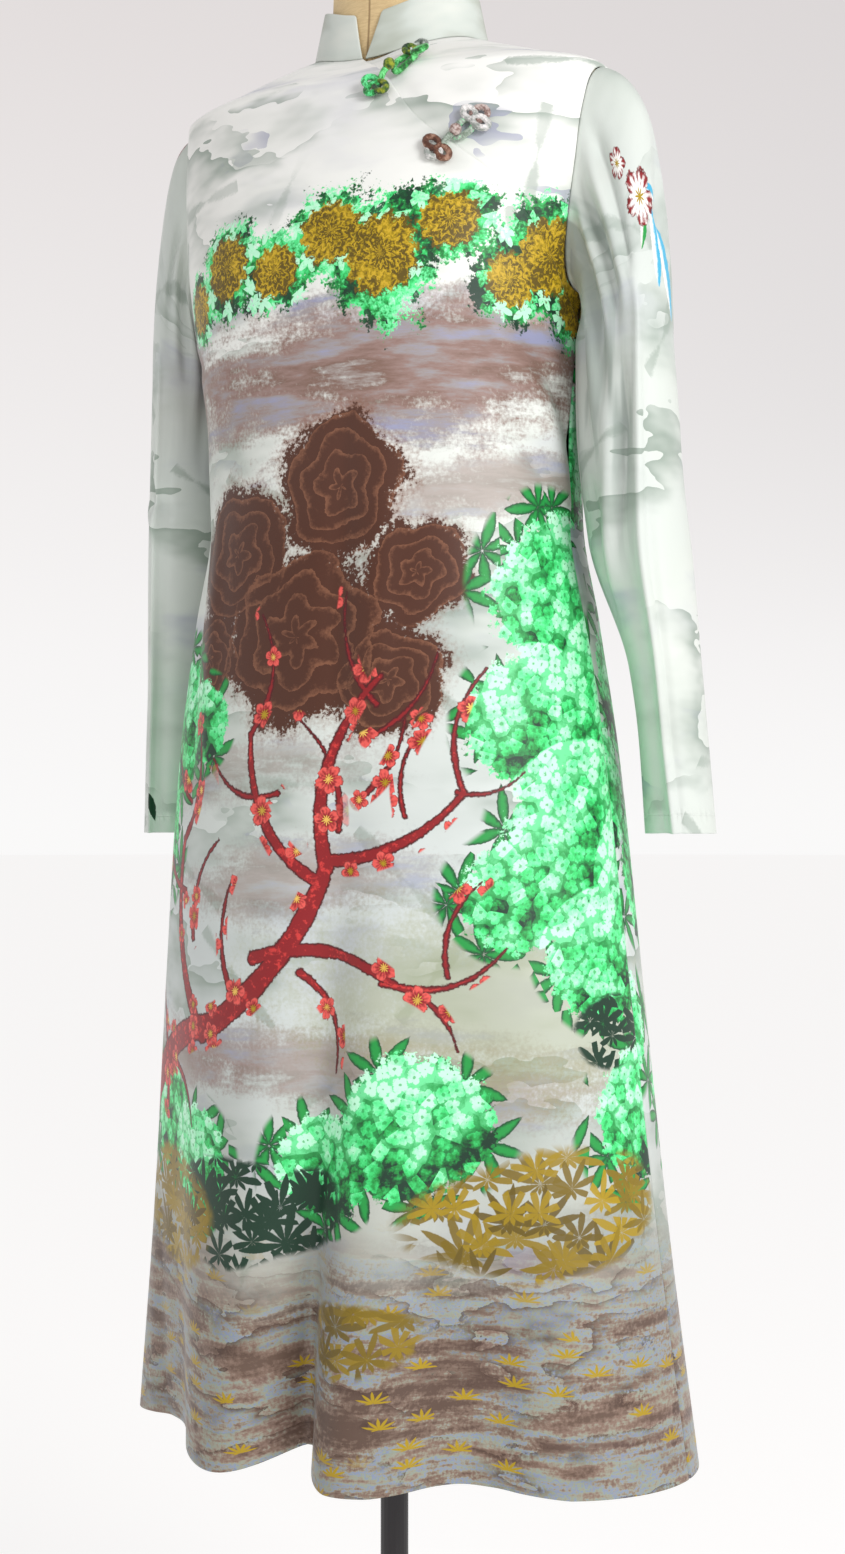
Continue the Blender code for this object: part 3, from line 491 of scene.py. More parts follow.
def armholeEdge():
    share = np.linspace(0, 1, sleeveGrid["armRows"] + 1)
    up = levels["underarm"] + (levels["shoulder"] - levels["underarm"]) * (1 - np.cos(pi * share)) / 2
    frontEdge = np.array([tubePoint(armholeAngle(v), v) for v in up])
    backEdge = np.array([tubePoint(armholeAngle(v, True), v) for v in up[::-1]])
    loop = np.concatenate([frontEdge[:-1], backEdge[:-1]])
    steps = np.linalg.norm(np.roll(loop, -1, axis=0) - loop, axis=1)
    run = np.concatenate([[0], np.cumsum(steps)])
    closedLoop = np.concatenate([loop, loop[:1]])
    count = sleeveGrid["columns"]
    at = np.arange(count) / count * run[-1]
    return np.stack([np.interp(at, run, closedLoop[:, k]) for k in range(3)], 1), at / run[-1]


def sleeveRing(rows, z, shares):
    centreX, centreY, thick, deep, turn = (float(curveThrough(rows[:, 0], rows[:, k], z)) for k in range(1, 6))
    around, turned = 2 * pi * shares, radians(turn)
    lens = np.sign(np.cos(around)) * np.abs(np.cos(around)) ** sleeveGrid["edge"]
    across = np.array([cos(turned), sin(turned), 0])
    forward = np.array([sin(turned), -cos(turned), 0])
    return (
        np.array([centreX, centreY, z])
        - thick * lens[:, None] * across
        + deep * np.sin(around)[:, None] * forward
    )


def clearOfBody(points, clearance):
    moved = points.copy()
    centreY = girth("centreY", points[:, 2])
    away = np.stack([points[:, 0], points[:, 1] - centreY], 1)
    body = tubePoint(np.arctan2(away[:, 0], -away[:, 1]), points[:, 2])
    radius = np.hypot(body[:, 0], body[:, 1] - centreY) + clearance
    scale = np.maximum(radius / np.linalg.norm(away, axis=1), 1)
    scale = np.where(points[:, 2] < levels["underarm"], scale, 1)
    moved[:, 0] = points[:, 0] * scale
    moved[:, 1] = centreY + away[:, 1] * scale
    return moved


def sleeveRows(sleeve):
    edge, shares = armholeEdge()
    rows = sleeve["rows"]
    top, bottom = rows[-1, 0], rows[0, 0]
    ring = sleeveRing(rows, top, shares)
    height = np.sin(pi * shares)[:, None]
    outward = unit(np.array([1, 0, -0.55]) + np.array([0, 0, 0.5]) * height + 0.25 * unit(ring - edge))
    start = edge + cloth["seamGap"] * outward
    reach = np.linalg.norm(ring - start, axis=1)[:, None]
    low, high = sleeve["head"][1], sleeve["head"][0]
    pullOut = reach * (low + (high - low) * height**2) * outward
    pullUp = reach * sleeveGrid["pull"] * np.array([0, 0, 1.0])
    # the seam allowance turns in under the body's edge
    spoke = unit((edge - np.array([0, 0, 1.3])) * np.array([1, 1, 0.8]))
    made = [start - tuck * spoke for tuck in sleeveGrid["tucks"]]
    near = [0, 0.006, 0.014, 0.026]
    for t in [*near, *np.linspace(0.045, 1, sleeveGrid["capRows"], endpoint=False)]:
        row = (
            (1 - t) ** 3 * start
            + 3 * (1 - t) ** 2 * t * (start + pullOut)
            + 3 * (1 - t) * t * t * (ring + pullUp)
            + t**3 * ring
        )
        made.append(clearOfBody(row, sleeveGrid["clearance"] * ease(2.5 * t)) if t else row)
    for z in [*np.linspace(top, bottom + 0.003, sleeveGrid["sleeveRows"]), bottom + 0.0012, bottom]:
        made.append(clearOfBody(sleeveRing(rows, z, shares), sleeveGrid["clearance"]))
    return np.array(made), shares


def gridNormals(grid):
    around = np.roll(grid, -1, axis=1) - np.roll(grid, 1, axis=1)
    along = np.gradient(grid, axis=0)
    normals = unit(np.cross(along, around))
    outward = grid - grid.mean(axis=1, keepdims=True)
    return normals * np.sign((normals * outward).sum(-1).sum(1))[:, None, None]


def makeSleeve(name, sleeve):
    grid, shares = sleeveRows(sleeve)
    down = runAlong(grid.mean(axis=1))
    around = np.repeat(shares[None, :], len(grid), axis=0) * sleeveGrid["girth"]
    drop = np.repeat(down[:, None], grid.shape[1], axis=1)
    uv = np.stack([around, down[-1] - drop], -1)
    reach = np.zeros(around.shape)
    for wrap in (-1, 0, 1):  # a crease may run on past the underarm seam
        reach += strokeReach(uv + np.array([wrap * sleeveGrid["girth"], 0]), metres(sleeve["creases"]))
    grid = grid + (reach * ease(drop / 0.02))[..., None] * gridNormals(grid)
    grid = grid * np.array([sleeve["side"], 1, 1])
    if sleeve["side"] > 0:
        grid, uv = grid[::-1], uv[::-1]
    return clothMesh(name, grid, uv, ring=True)


sleeveLeft = makeSleeve("left sleeve", leftSleeve)
sleeveRight = makeSleeve("right sleeve", rightSleeve)
print("sleeves sewn")

# the stand-up collar: two layers with an interlining, parted in a V at the centre front
collar = {"height": 0.04, "drop": 0.002, "lean": 0.115, "slant": 0.0105, "gap": 0.0012, "thick": 0.0021,
          "columns": 150, "corner": 0.0035, "neckRadius": 0.0575}


def pillow(name, grid, normals, uv, edges, thick):
    # two faces that meet in a rounded edge; edges says how far each point lies from the border
    half = thick / 2 * np.sqrt(np.clip(1 - (1 - np.clip(edges / (thick / 2), 0, 1)) ** 2, 0, 1))
    outer = grid + (half - thick / 2)[..., None] * normals
    inner = grid - (half + thick / 2)[..., None] * normals
    index = np.arange(edges.size).reshape(edges.shape)
    other = index.copy()
    other[1:-1, 1:-1] += edges.size
    faces = np.concatenate([quads(index).reshape(-1, 4), quads(other).reshape(-1, 4)[:, ::-1]]).tolist()
    corners = np.stack([quads(uv), quads(uv)[:, :, ::-1]])

    def dropLoose(form):
        bmesh.ops.delete(form, geom=[v for v in form.verts if not v.link_faces], context="VERTS")

    return makeObject(name, np.stack([outer, inner]), faces, corners, dropLoose)


def makeCollar():
    near = np.array([0, 0.0003, 0.0007, 0.0012, 0.003])
    height = collar["height"]
    shares = np.concatenate([near, np.linspace(0.006, 0.034, 12), height - near[::-1]]) / height
    middle = np.array([0, girths[-1, girthColumns.index("centreY")], 0])
    grid, uv, gaps = [], [], []
    for share in shares:
        start = (collar["gap"] + collar["slant"] * share) / collar["neckRadius"]
        many = np.linspace(start, 2 * pi - start, 600)
        run = runAlong(tubePoint(many, levels["neck"]))
        length = run[-1]
        at = np.concatenate([near, np.linspace(0.006, length - 0.006, collar["columns"] - 10), length - near[::-1]])
        angles = np.interp(at, run, many)
        foot = tubePoint(angles, levels["neck"])
        fromEnd = np.minimum(at, length - at)
        corner = collar["corner"] * np.clip(1 - fromEnd / collar["corner"], 0, 1) ** 2
        rise = height - collar["drop"] * np.clip(np.cos(angles), 0, 1) ** 4 - 0.6 * corner
        ring = middle + (foot - middle) * np.array([1, 1, 0]) * (1 - collar["lean"] * share)
        ring[:, 2] = foot[:, 2] + cloth["seamGap"] + rise * share
        grid.append(ring)
        uv.append(np.stack([at - length / 2, 1.2 + rise * share], -1))
        gaps.append(np.minimum(fromEnd, min(share, 1 - share) * height))
    grid = np.array(grid)
    normals = unit(np.cross(np.gradient(grid, axis=1), np.gradient(grid, axis=0)))
    return pillow("collar band", grid, normals, np.array(uv), np.array(gaps), collar["thick"])


collarPiece = makeCollar()

# knotted cord fastenings: each half's middle as degrees from the centre front and level, its petals' sizes,
# and how far the petals of the two halves rise towards their tips
frogs = {
    "upper": {"button": (23.0, 1.377), "loop": (40.0, 1.425), "buttonPetals": (0.95, 0.92, 1.0),
              "loopPetals": (1.12, 0.8, 0.92), "lift": (0.12, 0.42)},
    "lower": {"button": (43.5, 1.32), "loop": (54.0, 1.342), "buttonPetals": (0.9, 0.92, 0.95),
              "loopPetals": (1.12, 0.85, 1.0), "lift": (0.1, 0.2)},
}
cordFacts = {"radius": 0.0025, "gap": 0.0004, "petal": 0.0115, "petalHalf": 0.0045, "turn": 78, "ring": 0.005,
             "button": 0.0044, "buttonRise": 0.0018, "buttonShare": 0.52, "sides": 14}


def layOnFront(place, along, aside, height):
    angle, level, turn = place
    across = along * cos(turn) - aside * sin(turn)
    up = along * sin(turn) + aside * cos(turn)
    here = tubePoint(angle, level)
    perAngle = np.linalg.norm(tubePoint(angle + 1e-4, level) - here) / 1e-4
    perLevel = np.linalg.norm(tubePoint(angle, level + 1e-4) - here) / 1e-4
    angles, rows = angle + across / perAngle, level + up / perLevel
    normals = tubeNormal(angles, rows)
    return tubePoint(angles, rows) + height[:, None] * normals, normals


def cordTube(points, normals, closed, radius):
    # rings of a soft cloth tube: a little flat, and a little uneven in width along its length
    step = np.roll(points, -1, axis=0) - np.roll(points, 1, axis=0)
    if not closed:
        step[0], step[-1] = points[1] - points[0], points[-1] - points[-2]
    way = unit(step)
    side = unit(np.cross(way, normals))
    up = np.cross(side, way)
    sides, count = cordFacts["sides"], len(points)
    turns = np.arange(sides) * 2 * pi / sides
    wide = radius * (1 + 0.035 * np.sin(np.arange(count)[:, None] * 1.9 + 0.8 * np.sin(turns)))
    rings = (
        points[:, None]
        + (wide * np.cos(turns))[..., None] * side[:, None]
        + (0.96 * wide * np.sin(turns))[..., None] * up[:, None]
    )
    faces = gridFaces(count, sides, True, closed)
    if not closed:
        faces += [list(range(sides))[::-1], list(range((count - 1) * sides, count * sides))]
    return rings.reshape(-1, 3).tolist(), faces


def joinTubes(name, tubes):
    # one object, with a material slot for each tube
    points, faces, tubeOf = [], [], []
    for number, (tubePoints, tubeFaces) in enumerate(tubes):
        faces += [[len(points) + i for i in face] for face in tubeFaces]
        tubeOf += [number] * len(tubeFaces)
        points += tubePoints
    thing = makeObject(name, points, faces, None, lambda form: bmesh.ops.recalc_face_normals(form, faces=form.faces))
    for _ in tubes:
        thing.data.materials.append(None)
    thing.data.polygons.foreach_set("material_index", tubeOf)
    return thing


def petalTubes(place, away, sizes, lift=0.0):
    made = []
    share = np.linspace(0, 2 * pi, 44, endpoint=False) + 0.1
    for number, (turned, size) in enumerate(zip((0, cordFacts["turn"], -cordFacts["turn"]), sizes)):
        out = size * cordFacts["petal"] / 2 * (1 - np.cos(share))
        side = cordFacts["petalHalf"] * np.sin(share) * (0.55 + 0.45 * size)
        turn = radians(turned + (180 if away else 0))
        height = cordFacts["radius"] + cordFacts["gap"] + 0.0006 * number
        height = height + 0.001 * (1 - out / cordFacts["petal"]) + lift * out
        points, normals = layOnFront(
            place, out * cos(turn) - side * sin(turn), out * sin(turn) + side * cos(turn), height
        )
        made.append(cordTube(points, normals, True, cordFacts["radius"]))
    return made


def knotBall(centre, normal, radius):
    # a round knot whose four strands pass over one another
    rings, sides = 20, 28
    up = unit(normal)
    right = unit(np.cross(up, [0.3, 0.2, 1]))
    ahead = np.cross(up, right)
    lean, turn = pi * np.arange(rings + 1)[:, None, None] / rings, 2 * pi * np.arange(sides)[:, None] / sides
    weave = np.abs(np.sin(2 * turn + 2.2 * lean)) ** 0.5 * 0.13 - 0.08
    reach = radius * (1 + weave * np.sin(lean) ** 0.6)
    spots = reach * (np.sin(lean) * (np.cos(turn) * right + np.sin(turn) * ahead) + np.cos(lean) * up)
    return (centre + spots).reshape(-1, 3).tolist(), gridFaces(rings + 1, sides, True)


def makeFrog(key, facts):
    start, end = ((radians(facts[half][0]), facts[half][1]) for half in ("button", "loop"))
    foot = tubePoint(*start)
    apart = tubePoint(*end) - foot
    around = tubePoint(start[0] + 1e-4, start[1]) - foot
    rise = tubePoint(start[0], start[1] + 1e-4) - foot
    length = float(np.linalg.norm(apart))
    turn = float(np.arctan2(apart @ unit(rise), apart @ unit(around)))
    radius, loop = cordFacts["radius"], cordFacts["ring"]
    buttonAt = cordFacts["buttonShare"] * length
    low = radius + cordFacts["gap"]
    high = low + 2 * radius + cordFacts["gap"]
    place = (*start, turn)
    path = np.linspace(0, buttonAt, 30)
    heights = low + (high - low) * ease(path / (buttonAt - loop - 0.3 * radius))
    stem = cordTube(*layOnFront(place, path, 0 * path, heights), False, radius)
    top, normal = layOnFront(place, np.array([buttonAt]), np.zeros(1), np.array([high + cordFacts["buttonRise"]]))
    ball = knotBall(top[0], normal[0], cordFacts["button"])
    petals = petalTubes(place, True, facts["buttonPetals"], facts["lift"][0])
    buttonHalf = joinTubes(key + " frog button half", [*petals, stem, ball])
    place = (*end, turn)
    share = np.linspace(0, 2 * pi, 60, endpoint=False) + 0.1
    out = (length - buttonAt + loop) / 2 * (1 - np.cos(share))
    ring = cordTube(*layOnFront(place, -out, 0.92 * loop * np.sin(share), low + 0 * out), True, radius)
    petals = petalTubes(place, False, facts["loopPetals"], facts["lift"][1])
    return buttonHalf, joinTubes(key + " frog loop half", [*petals, ring])


frogPieces = {key: makeFrog(key, facts) for key, facts in frogs.items()}

# the limbless form inside: it carries the cloth only at the shoulders
formFacts = {"bottom": 0.83, "columns": 112, "neckX": 0.0575, "neckY": 0.053,
             "inset": 0.002, "tilt": 0.01, "tiltTop": 1.456}
formFacts["levels"] = (0.83, 0.9, 0.98, 1.06, 1.13, 1.18, 1.22, 1.265, 1.31, 1.35, 1.38, 1.4, 1.43, 1.46, 1.485)
formFacts["neck"] = (  # height, and share of the neck's half widths
    (1.44, 1.045), (1.456, 1.0), (1.48, 0.985), (1.5005, 0.975), (1.502, 0.973), (1.504, 0.96),
    (1.505, 0.935), (1.505, 0.75), (1.505, 0.4),
)


def formClearance(angle, level):
    hips = 0.0125 * ease((1.19 - level) / 0.14)
    chest = 0.0036 * ease((levels["shoulder"] + 0.02 - level) / 0.06)
    return 0.0012 + hips + chest + 0.0086 * np.clip(np.cos(angle), 0, 1) ** 0.5


def makeForm():
    columns, rings = formFacts["columns"], []
    many = np.linspace(0, 2 * pi, 1200)
    for level in formFacts["levels"]:
        run = runAlong(tubePoint(many, np.full(len(many), level)))
        even = np.interp(np.arange(columns) / columns * run[-1], run, many)
        rows = np.full(columns, level)
        inset = formFacts["inset"] + formClearance(even, level)
        rings.append(tubePoint(even, rows, False) - inset[:, None] * tubeNormal(even, rows, False))
    rings[0][:, 2] = formFacts["bottom"]
    angles = np.arange(columns) * 2 * pi / columns
    for z, share in formFacts["neck"]:
        tilt = formFacts["tilt"] * float(ease((formFacts["tiltTop"] - z) / 0.02 + 1)) if z < formFacts["tiltTop"] else 0
        x = formFacts["neckX"] * share * np.sin(angles)
        y = 0.012 - formFacts["neckY"] * share * np.cos(angles)
        rings.append(np.stack([x, y, z - tilt * np.cos(angles)], 1))
    grid = np.array(rings)
    across, up = np.broadcast_arrays(angles / 2 / pi, grid[:, :1, 2])

    def cap(form):
        form.verts.ensure_lookup_table()
        form.faces.new(form.verts[:columns][::-1])
        form.faces.new(form.verts[-columns:])
        bmesh.ops.recalc_face_normals(form, faces=form.faces)

    thing = clothMesh("form torso", grid, np.stack([across, up], -1), True, cap)
    thing.data.set_sharp_from_angle(angle=radians(40))
    return thing


formPiece = makeForm()
print("collar, frogs and form made")

for piece in (front, underlapPiece, back, sleeveLeft, sleeveRight):
    shell = piece.modifiers.new("thickness", "SOLIDIFY")
    shell.thickness, shell.offset, shell.use_even_offset = cloth["thick"], -1, False


# materials: a link holds one output socket, and sums on it add their own nodes
class Link:
    def __init__(self, tree, socket=None):
        self.tree, self.socket = tree, socket

    def node(self, kind, settings=None, sockets=None, out=0):
        made = self.tree.nodes.new("ShaderNode" + kind)
        for name, value in (settings or {}).items():
            if name == "stops":
                ramp = made.color_ramp
                while len(ramp.elements) < len(value):
                    ramp.elements.new(0.5)
                for stop, (place, colour) in zip(ramp.elements, value):
                    stop.position, stop.color = place, ink(colour)
            else:
                setattr(made, name, value)
        for name, value in (sockets or {}).items():
            if isinstance(value, Link):
                self.tree.links.new(value.socket, made.inputs[name])
            else:
                made.inputs[name].default_value = value
        return Link(self.tree, made.outputs[out])

    def math(self, operation, *values):
        return self.node("Math", {"operation": operation}, dict(enumerate(values)))

    def __neg__(self):
        return self * -1

    def step(self, low, high):
        # 0 below low, 1 above high, soft between
        return self.node("MapRange", {"interpolation_type": "SMOOTHSTEP"},
                         {"Value": self, "From Min": low, "From Max": high})

    def over(self, colour, mask):
        # this colour with another laid over it where mask is 1
        return blend(mask, self, colour)

    def squeezed(self, **sockets):
        return self.node("Mapping", None, {"Vector": self, **sockets})

    def noise(self, scale, detail, roughness=0.5, out=0, settings=None):
        facts = {"Vector": self, "Scale": scale, "Detail": detail, "Roughness": roughness}
        return self.node("TexNoise", settings, facts, out)

    def bump(self, strength, distance):
        return self.node("Bump", None, {"Height": self, "Strength": strength, "Distance": distance})


for method, operation in {
    "__add__": "ADD", "__sub__": "SUBTRACT", "__mul__": "MULTIPLY", "__truediv__": "DIVIDE", "__pow__": "POWER",
    "sine": "SINE", "cosine": "COSINE", "size": "ABSOLUTE", "root": "SQRT", "fraction": "FRACT", "rounded": "ROUND",
    "most": "MAXIMUM", "least": "MINIMUM", "timesPlus": "MULTIPLY_ADD", "turnFrom": "ARCTAN2",
}.items():
    setattr(Link, method, lambda *values, operation=operation: values[0].math(operation, *values))
for method, operation in {"__radd__": "ADD", "__rsub__": "SUBTRACT", "__rmul__": "MULTIPLY"}.items():
    setattr(Link, method, lambda self, other, operation=operation: self.math(operation, other, self))


def ink(tone):
    # a dye's name or a screen colour, 0 to 255, as the linear colour that shaders use; four parts are linear already
    if len(tone) == 4 and not isinstance(tone, str):
        return tone
    tone = dye[tone] if isinstance(tone, str) else tone
    return (*(v / 255 / 12.92 if v <= 10 else ((v / 255 + 0.055) / 1.055) ** 2.4 for v in tone), 1)


def blend(mask, low, high):
    low, high = (v if isinstance(v, Link) else ink(v) for v in (low, high))
    return mask.node("Mix", {"data_type": "RGBA"}, {"Factor": mask, 6: low, 7: high}, 2)


def ramp(value, *stops):
    return value.node("ValToRGB", {"stops": stops}, {"Fac": value})


def startMaterial(name, constants):
    made = bpy.data.materials.new(name)
    made.use_nodes = True
    shader = made.node_tree.nodes["Principled BSDF"]
    for socket, value in constants.items():
        shader.inputs[socket].default_value = value
    return made, Link(made.node_tree), shader


def feed(maker, shader, **sockets):
    for name, value in sockets.items():
        maker.tree.links.new(value.socket, shader.inputs[name.replace("_", " ")])


def paint(piece, material):
    piece.data.materials.clear()
    piece.data.materials.append(material)


dye = {
    "paper": (243, 243, 239), "mist": (205, 212, 205), "greyGreen": (146, 160, 149), "lilac": (146, 148, 178),
    "mauve": (142, 112, 104), "sepia": (78, 42, 27), "sepiaLight": (132, 86, 62),
    "mint": (104, 240, 156), "mintLight": (196, 255, 220), "emerald": (30, 150, 66), "forest": (14, 52, 34),
    "ochre": (170, 141, 6), "ochreDark": (94, 76, 12), "red": (140, 22, 28),
    "redDark": (78, 14, 18), "coral": (216, 60, 56), "turquoise": (64, 176, 214), "khaki": (160, 164, 120),
}

# the print's motifs, in millimetres on the flat cloth: across from the middle and up from the hem
motifs = {
    "peonies": (  # across, up, radius, petals, turn
        (-80, 690, 60, 5, 0.3), (18, 735, 58, 5, 1.1), (-12, 622, 78, 6, 0.0), (82, 668, 44, 5, 0.6),
        (-105, 610, 40, 5, 2.0), (66, 588, 48, 5, 0.2),
    ),
    "heads": (  # mint flower heads: across, up, half width, half height
        (205, 655, 66, 60), (262, 575, 60, 64), (178, 560, 52, 50), (225, 480, 66, 58), (290, 440, 52, 60),
        (172, 430, 46, 42), (-165, 560, 56, 52), (-220, 480, 62, 58), (-300, 560, 56, 60), (98, 262, 58, 52),
        (22, 228, 46, 40), (290, 270, 52, 48), (-285, 280, 60, 56), (310, 760, 50, 56), (-112, 560, 34, 32),
        (245, 385, 54, 46), (-115, 225, 46, 42), (-175, 250, 44, 46), (385, 620, 56, 52), (362, 515, 50, 52),
        (400, 340, 52, 50),
    ),
    "chrysanthemums": (
        (20, 922, 27, 13, 0.3), (62, 902, 32, 14, 1.3), (112, 926, 24, 12, 0.0), (-28, 898, 22, 12, 0.9),
        (-78, 908, 26, 13, 1.9), (196, 905, 32, 14, 0.5), (160, 884, 22, 12, 2.4), (-124, 885, 22, 12, 0.2),
        (232, 876, 26, 13, 1.0), (285, 888, 25, 12, 0.4), (338, 902, 30, 14, 2.0), (388, 890, 24, 12, 1.2),
    ),
    "branches": (  # from, to, bulge in thousandths, width at the foot and tip
        (-262, 235, -85, 330, 100, 14.4, 10.1), (-85, 330, 20, 450, -100, 10.1, 6.8),
        (20, 450, 60, 590, 140, 6.8, 2.9), (-100, 322, -140, 470, 160, 7.6, 4.2),
        (-140, 470, -115, 560, -160, 4, 1.4), (-136, 430, -205, 505, 180, 4, 1.4), (12, 440, -50, 550, 140, 5.8, 3),
        (-50, 550, -45, 640, -180, 3, 1.2), (-22, 505, -92, 532, 180, 3, 1.2), (22, 455, 125, 505, -120, 5.6, 3),
        (125, 505, 138, 596, 160, 3, 1.2), (82, 488, 96, 556, 140, 2.6, 1.2), (-40, 382, 80, 365, 120, 6.1, 3.7),
        (80, 365, 160, 392, -160, 3.6, 1.3), (70, 366, 128, 318, 160, 3, 1.2), (52, 545, 102, 612, -140, 2.6, 1.1),
        (58, 570, 28, 655, 120, 2.6, 1.1), (-190, 262, -230, 372, -140, 5.2, 1.7),
        (-60, 350, -65, 440, 140, 3.6, 1.3), (30, 478, -5, 560, -140, 3.2, 1.2),
        (120, 505, 170, 520, -140, 2.2, 1.1), (-210, 500, -270, 500, 140, 1.7, 1.1),
        (-118, 395, -82, 470, 140, 3.6, 1.2), (-130, 500, -168, 560, 140, 2.8, 1.1), (0, 372, 30, 300, 160, 4, 1.2),
        (118, 372, 140, 440, 160, 2.8, 1.1), (-160, 295, -120, 250, 160, 4, 1.2), (46, 500, 80, 560, -120, 3, 1.1),
    ),
}


def parts(link, kind="SeparateXYZ"):
    return [link.node(kind, None, {0: link}, i) for i in range(3)]


def shades(link):
    return parts(link, "SeparateColor")


def within(spot, at, size, turn=0.0):
    # a spot on the cloth as seen from a motif's own middle, with its size as one
    across, up = spot
    if turn == 0:
        return (across.timesPlus(1 / size[0], -at[0] / size[0]), up.timesPlus(1 / size[1], -at[1] / size[1]))
    ahead, aside = cos(turn), sin(turn)
    x = up.timesPlus(aside / size[0], -(at[0] * ahead + at[1] * aside) / size[0])
    y = up.timesPlus(ahead / size[1], (at[0] * aside - at[1] * ahead) / size[1])
    return across.timesPlus(ahead / size[0], x), across.timesPlus(-aside / size[1], y)


def far(x, y):
    return y.timesPlus(y, x * x).root()

def patch(spot, at, size, turn=0.0):
    # below zero inside an oval
    return far(*within(spot, at, size, turn)) - 1


def grove(spot, *ovals):
    # below zero inside any of some ovals: across, up, half width and half height in millimetres, and turn
    return reduce(Link.least, [patch(spot, metres(oval[:2]), metres(oval[2:4]), oval[4]) for oval in ovals])


def stroke(spot, x0, y0, x1, y1, bulge, wide, narrow):
    # how far a spot lies from a bent brush stroke's edge, in metres
    way = (x1 - x0, y1 - y0)
    length = (way[0] ** 2 + way[1] ** 2) ** 0.5
    along, aside = within(spot, (x0, y0), (length, length), float(np.arctan2(way[1], way[0])))
    held = along.node("Clamp", None, {"Value": along})
    side = (held * (1 - held)).timesPlus(-4 * bulge, aside)
    return (far(along - held, side) - held.timesPlus((narrow - wide) / length, wide / length)) * length


def cells(place, spot, scale, stretch=1):
    # scattered places: how far across and up from the nearest, and three chances for each
    if stretch != 1:
        place = place.squeezed(Scale=(1, stretch, 1))
    facts = {"Vector": place, "Scale": scale, "Randomness": 0.9}
    middle = parts(place.node("TexVoronoi", {"voronoi_dimensions": "2D"}, facts, 2))
    chance = shades(place.node("TexVoronoi", {"voronoi_dimensions": "2D"}, facts, 1))
    return (spot[0] - middle[0], spot[1] * stretch - middle[1]), chance


def petalled(off, radius, petals, turn):
    # below zero inside a small open flower; also how far out, and the angle
    x, y = off
    angle = y.turnFrom(x) + turn
    reach = far(x, y) / radius
    notch = (angle * (petals / 2)).cosine().size() ** 0.55
    return reach - notch * 0.42 - 0.56, reach, angle


def spray(off, blades, length, width, turn):
    # below zero inside long leaves that fan out from one point
    x, y = off
    angle = y.turnFrom(x) + turn
    step = 2 * pi / blades
    aside = angle - (angle / step).rounded() * step
    reach = far(x, y)
    side = (reach * aside.sine()).size()
    along = reach / length * 2 - 1
    return side / width + along * along - 1


def petalBlooms(spot, table, rings, warp):
    # below zero inside big full flowers, and the light on their petals' rims
    edges, rims = [], []
    for across, up, radius, petals, turn in table:
        across, up, radius = metres((across, up, radius))
        x, y = within(spot, (across, up), (radius, radius * 0.92), turn)
        angle, reach = y.turnFrom(x), far(x, y)
        wave = (angle * petals + reach * 3.2).sine()
        run = reach * rings + angle / (2 * pi) + wave * 0.26 + warp
        edge = reach + wave * 0.07 - 0.95
        rims.append((run.fraction() ** 2.2) * edge.step(0.02, -0.04))
        edges.append(edge)
    return reduce(Link.least, edges), reduce(Link.most, rims)


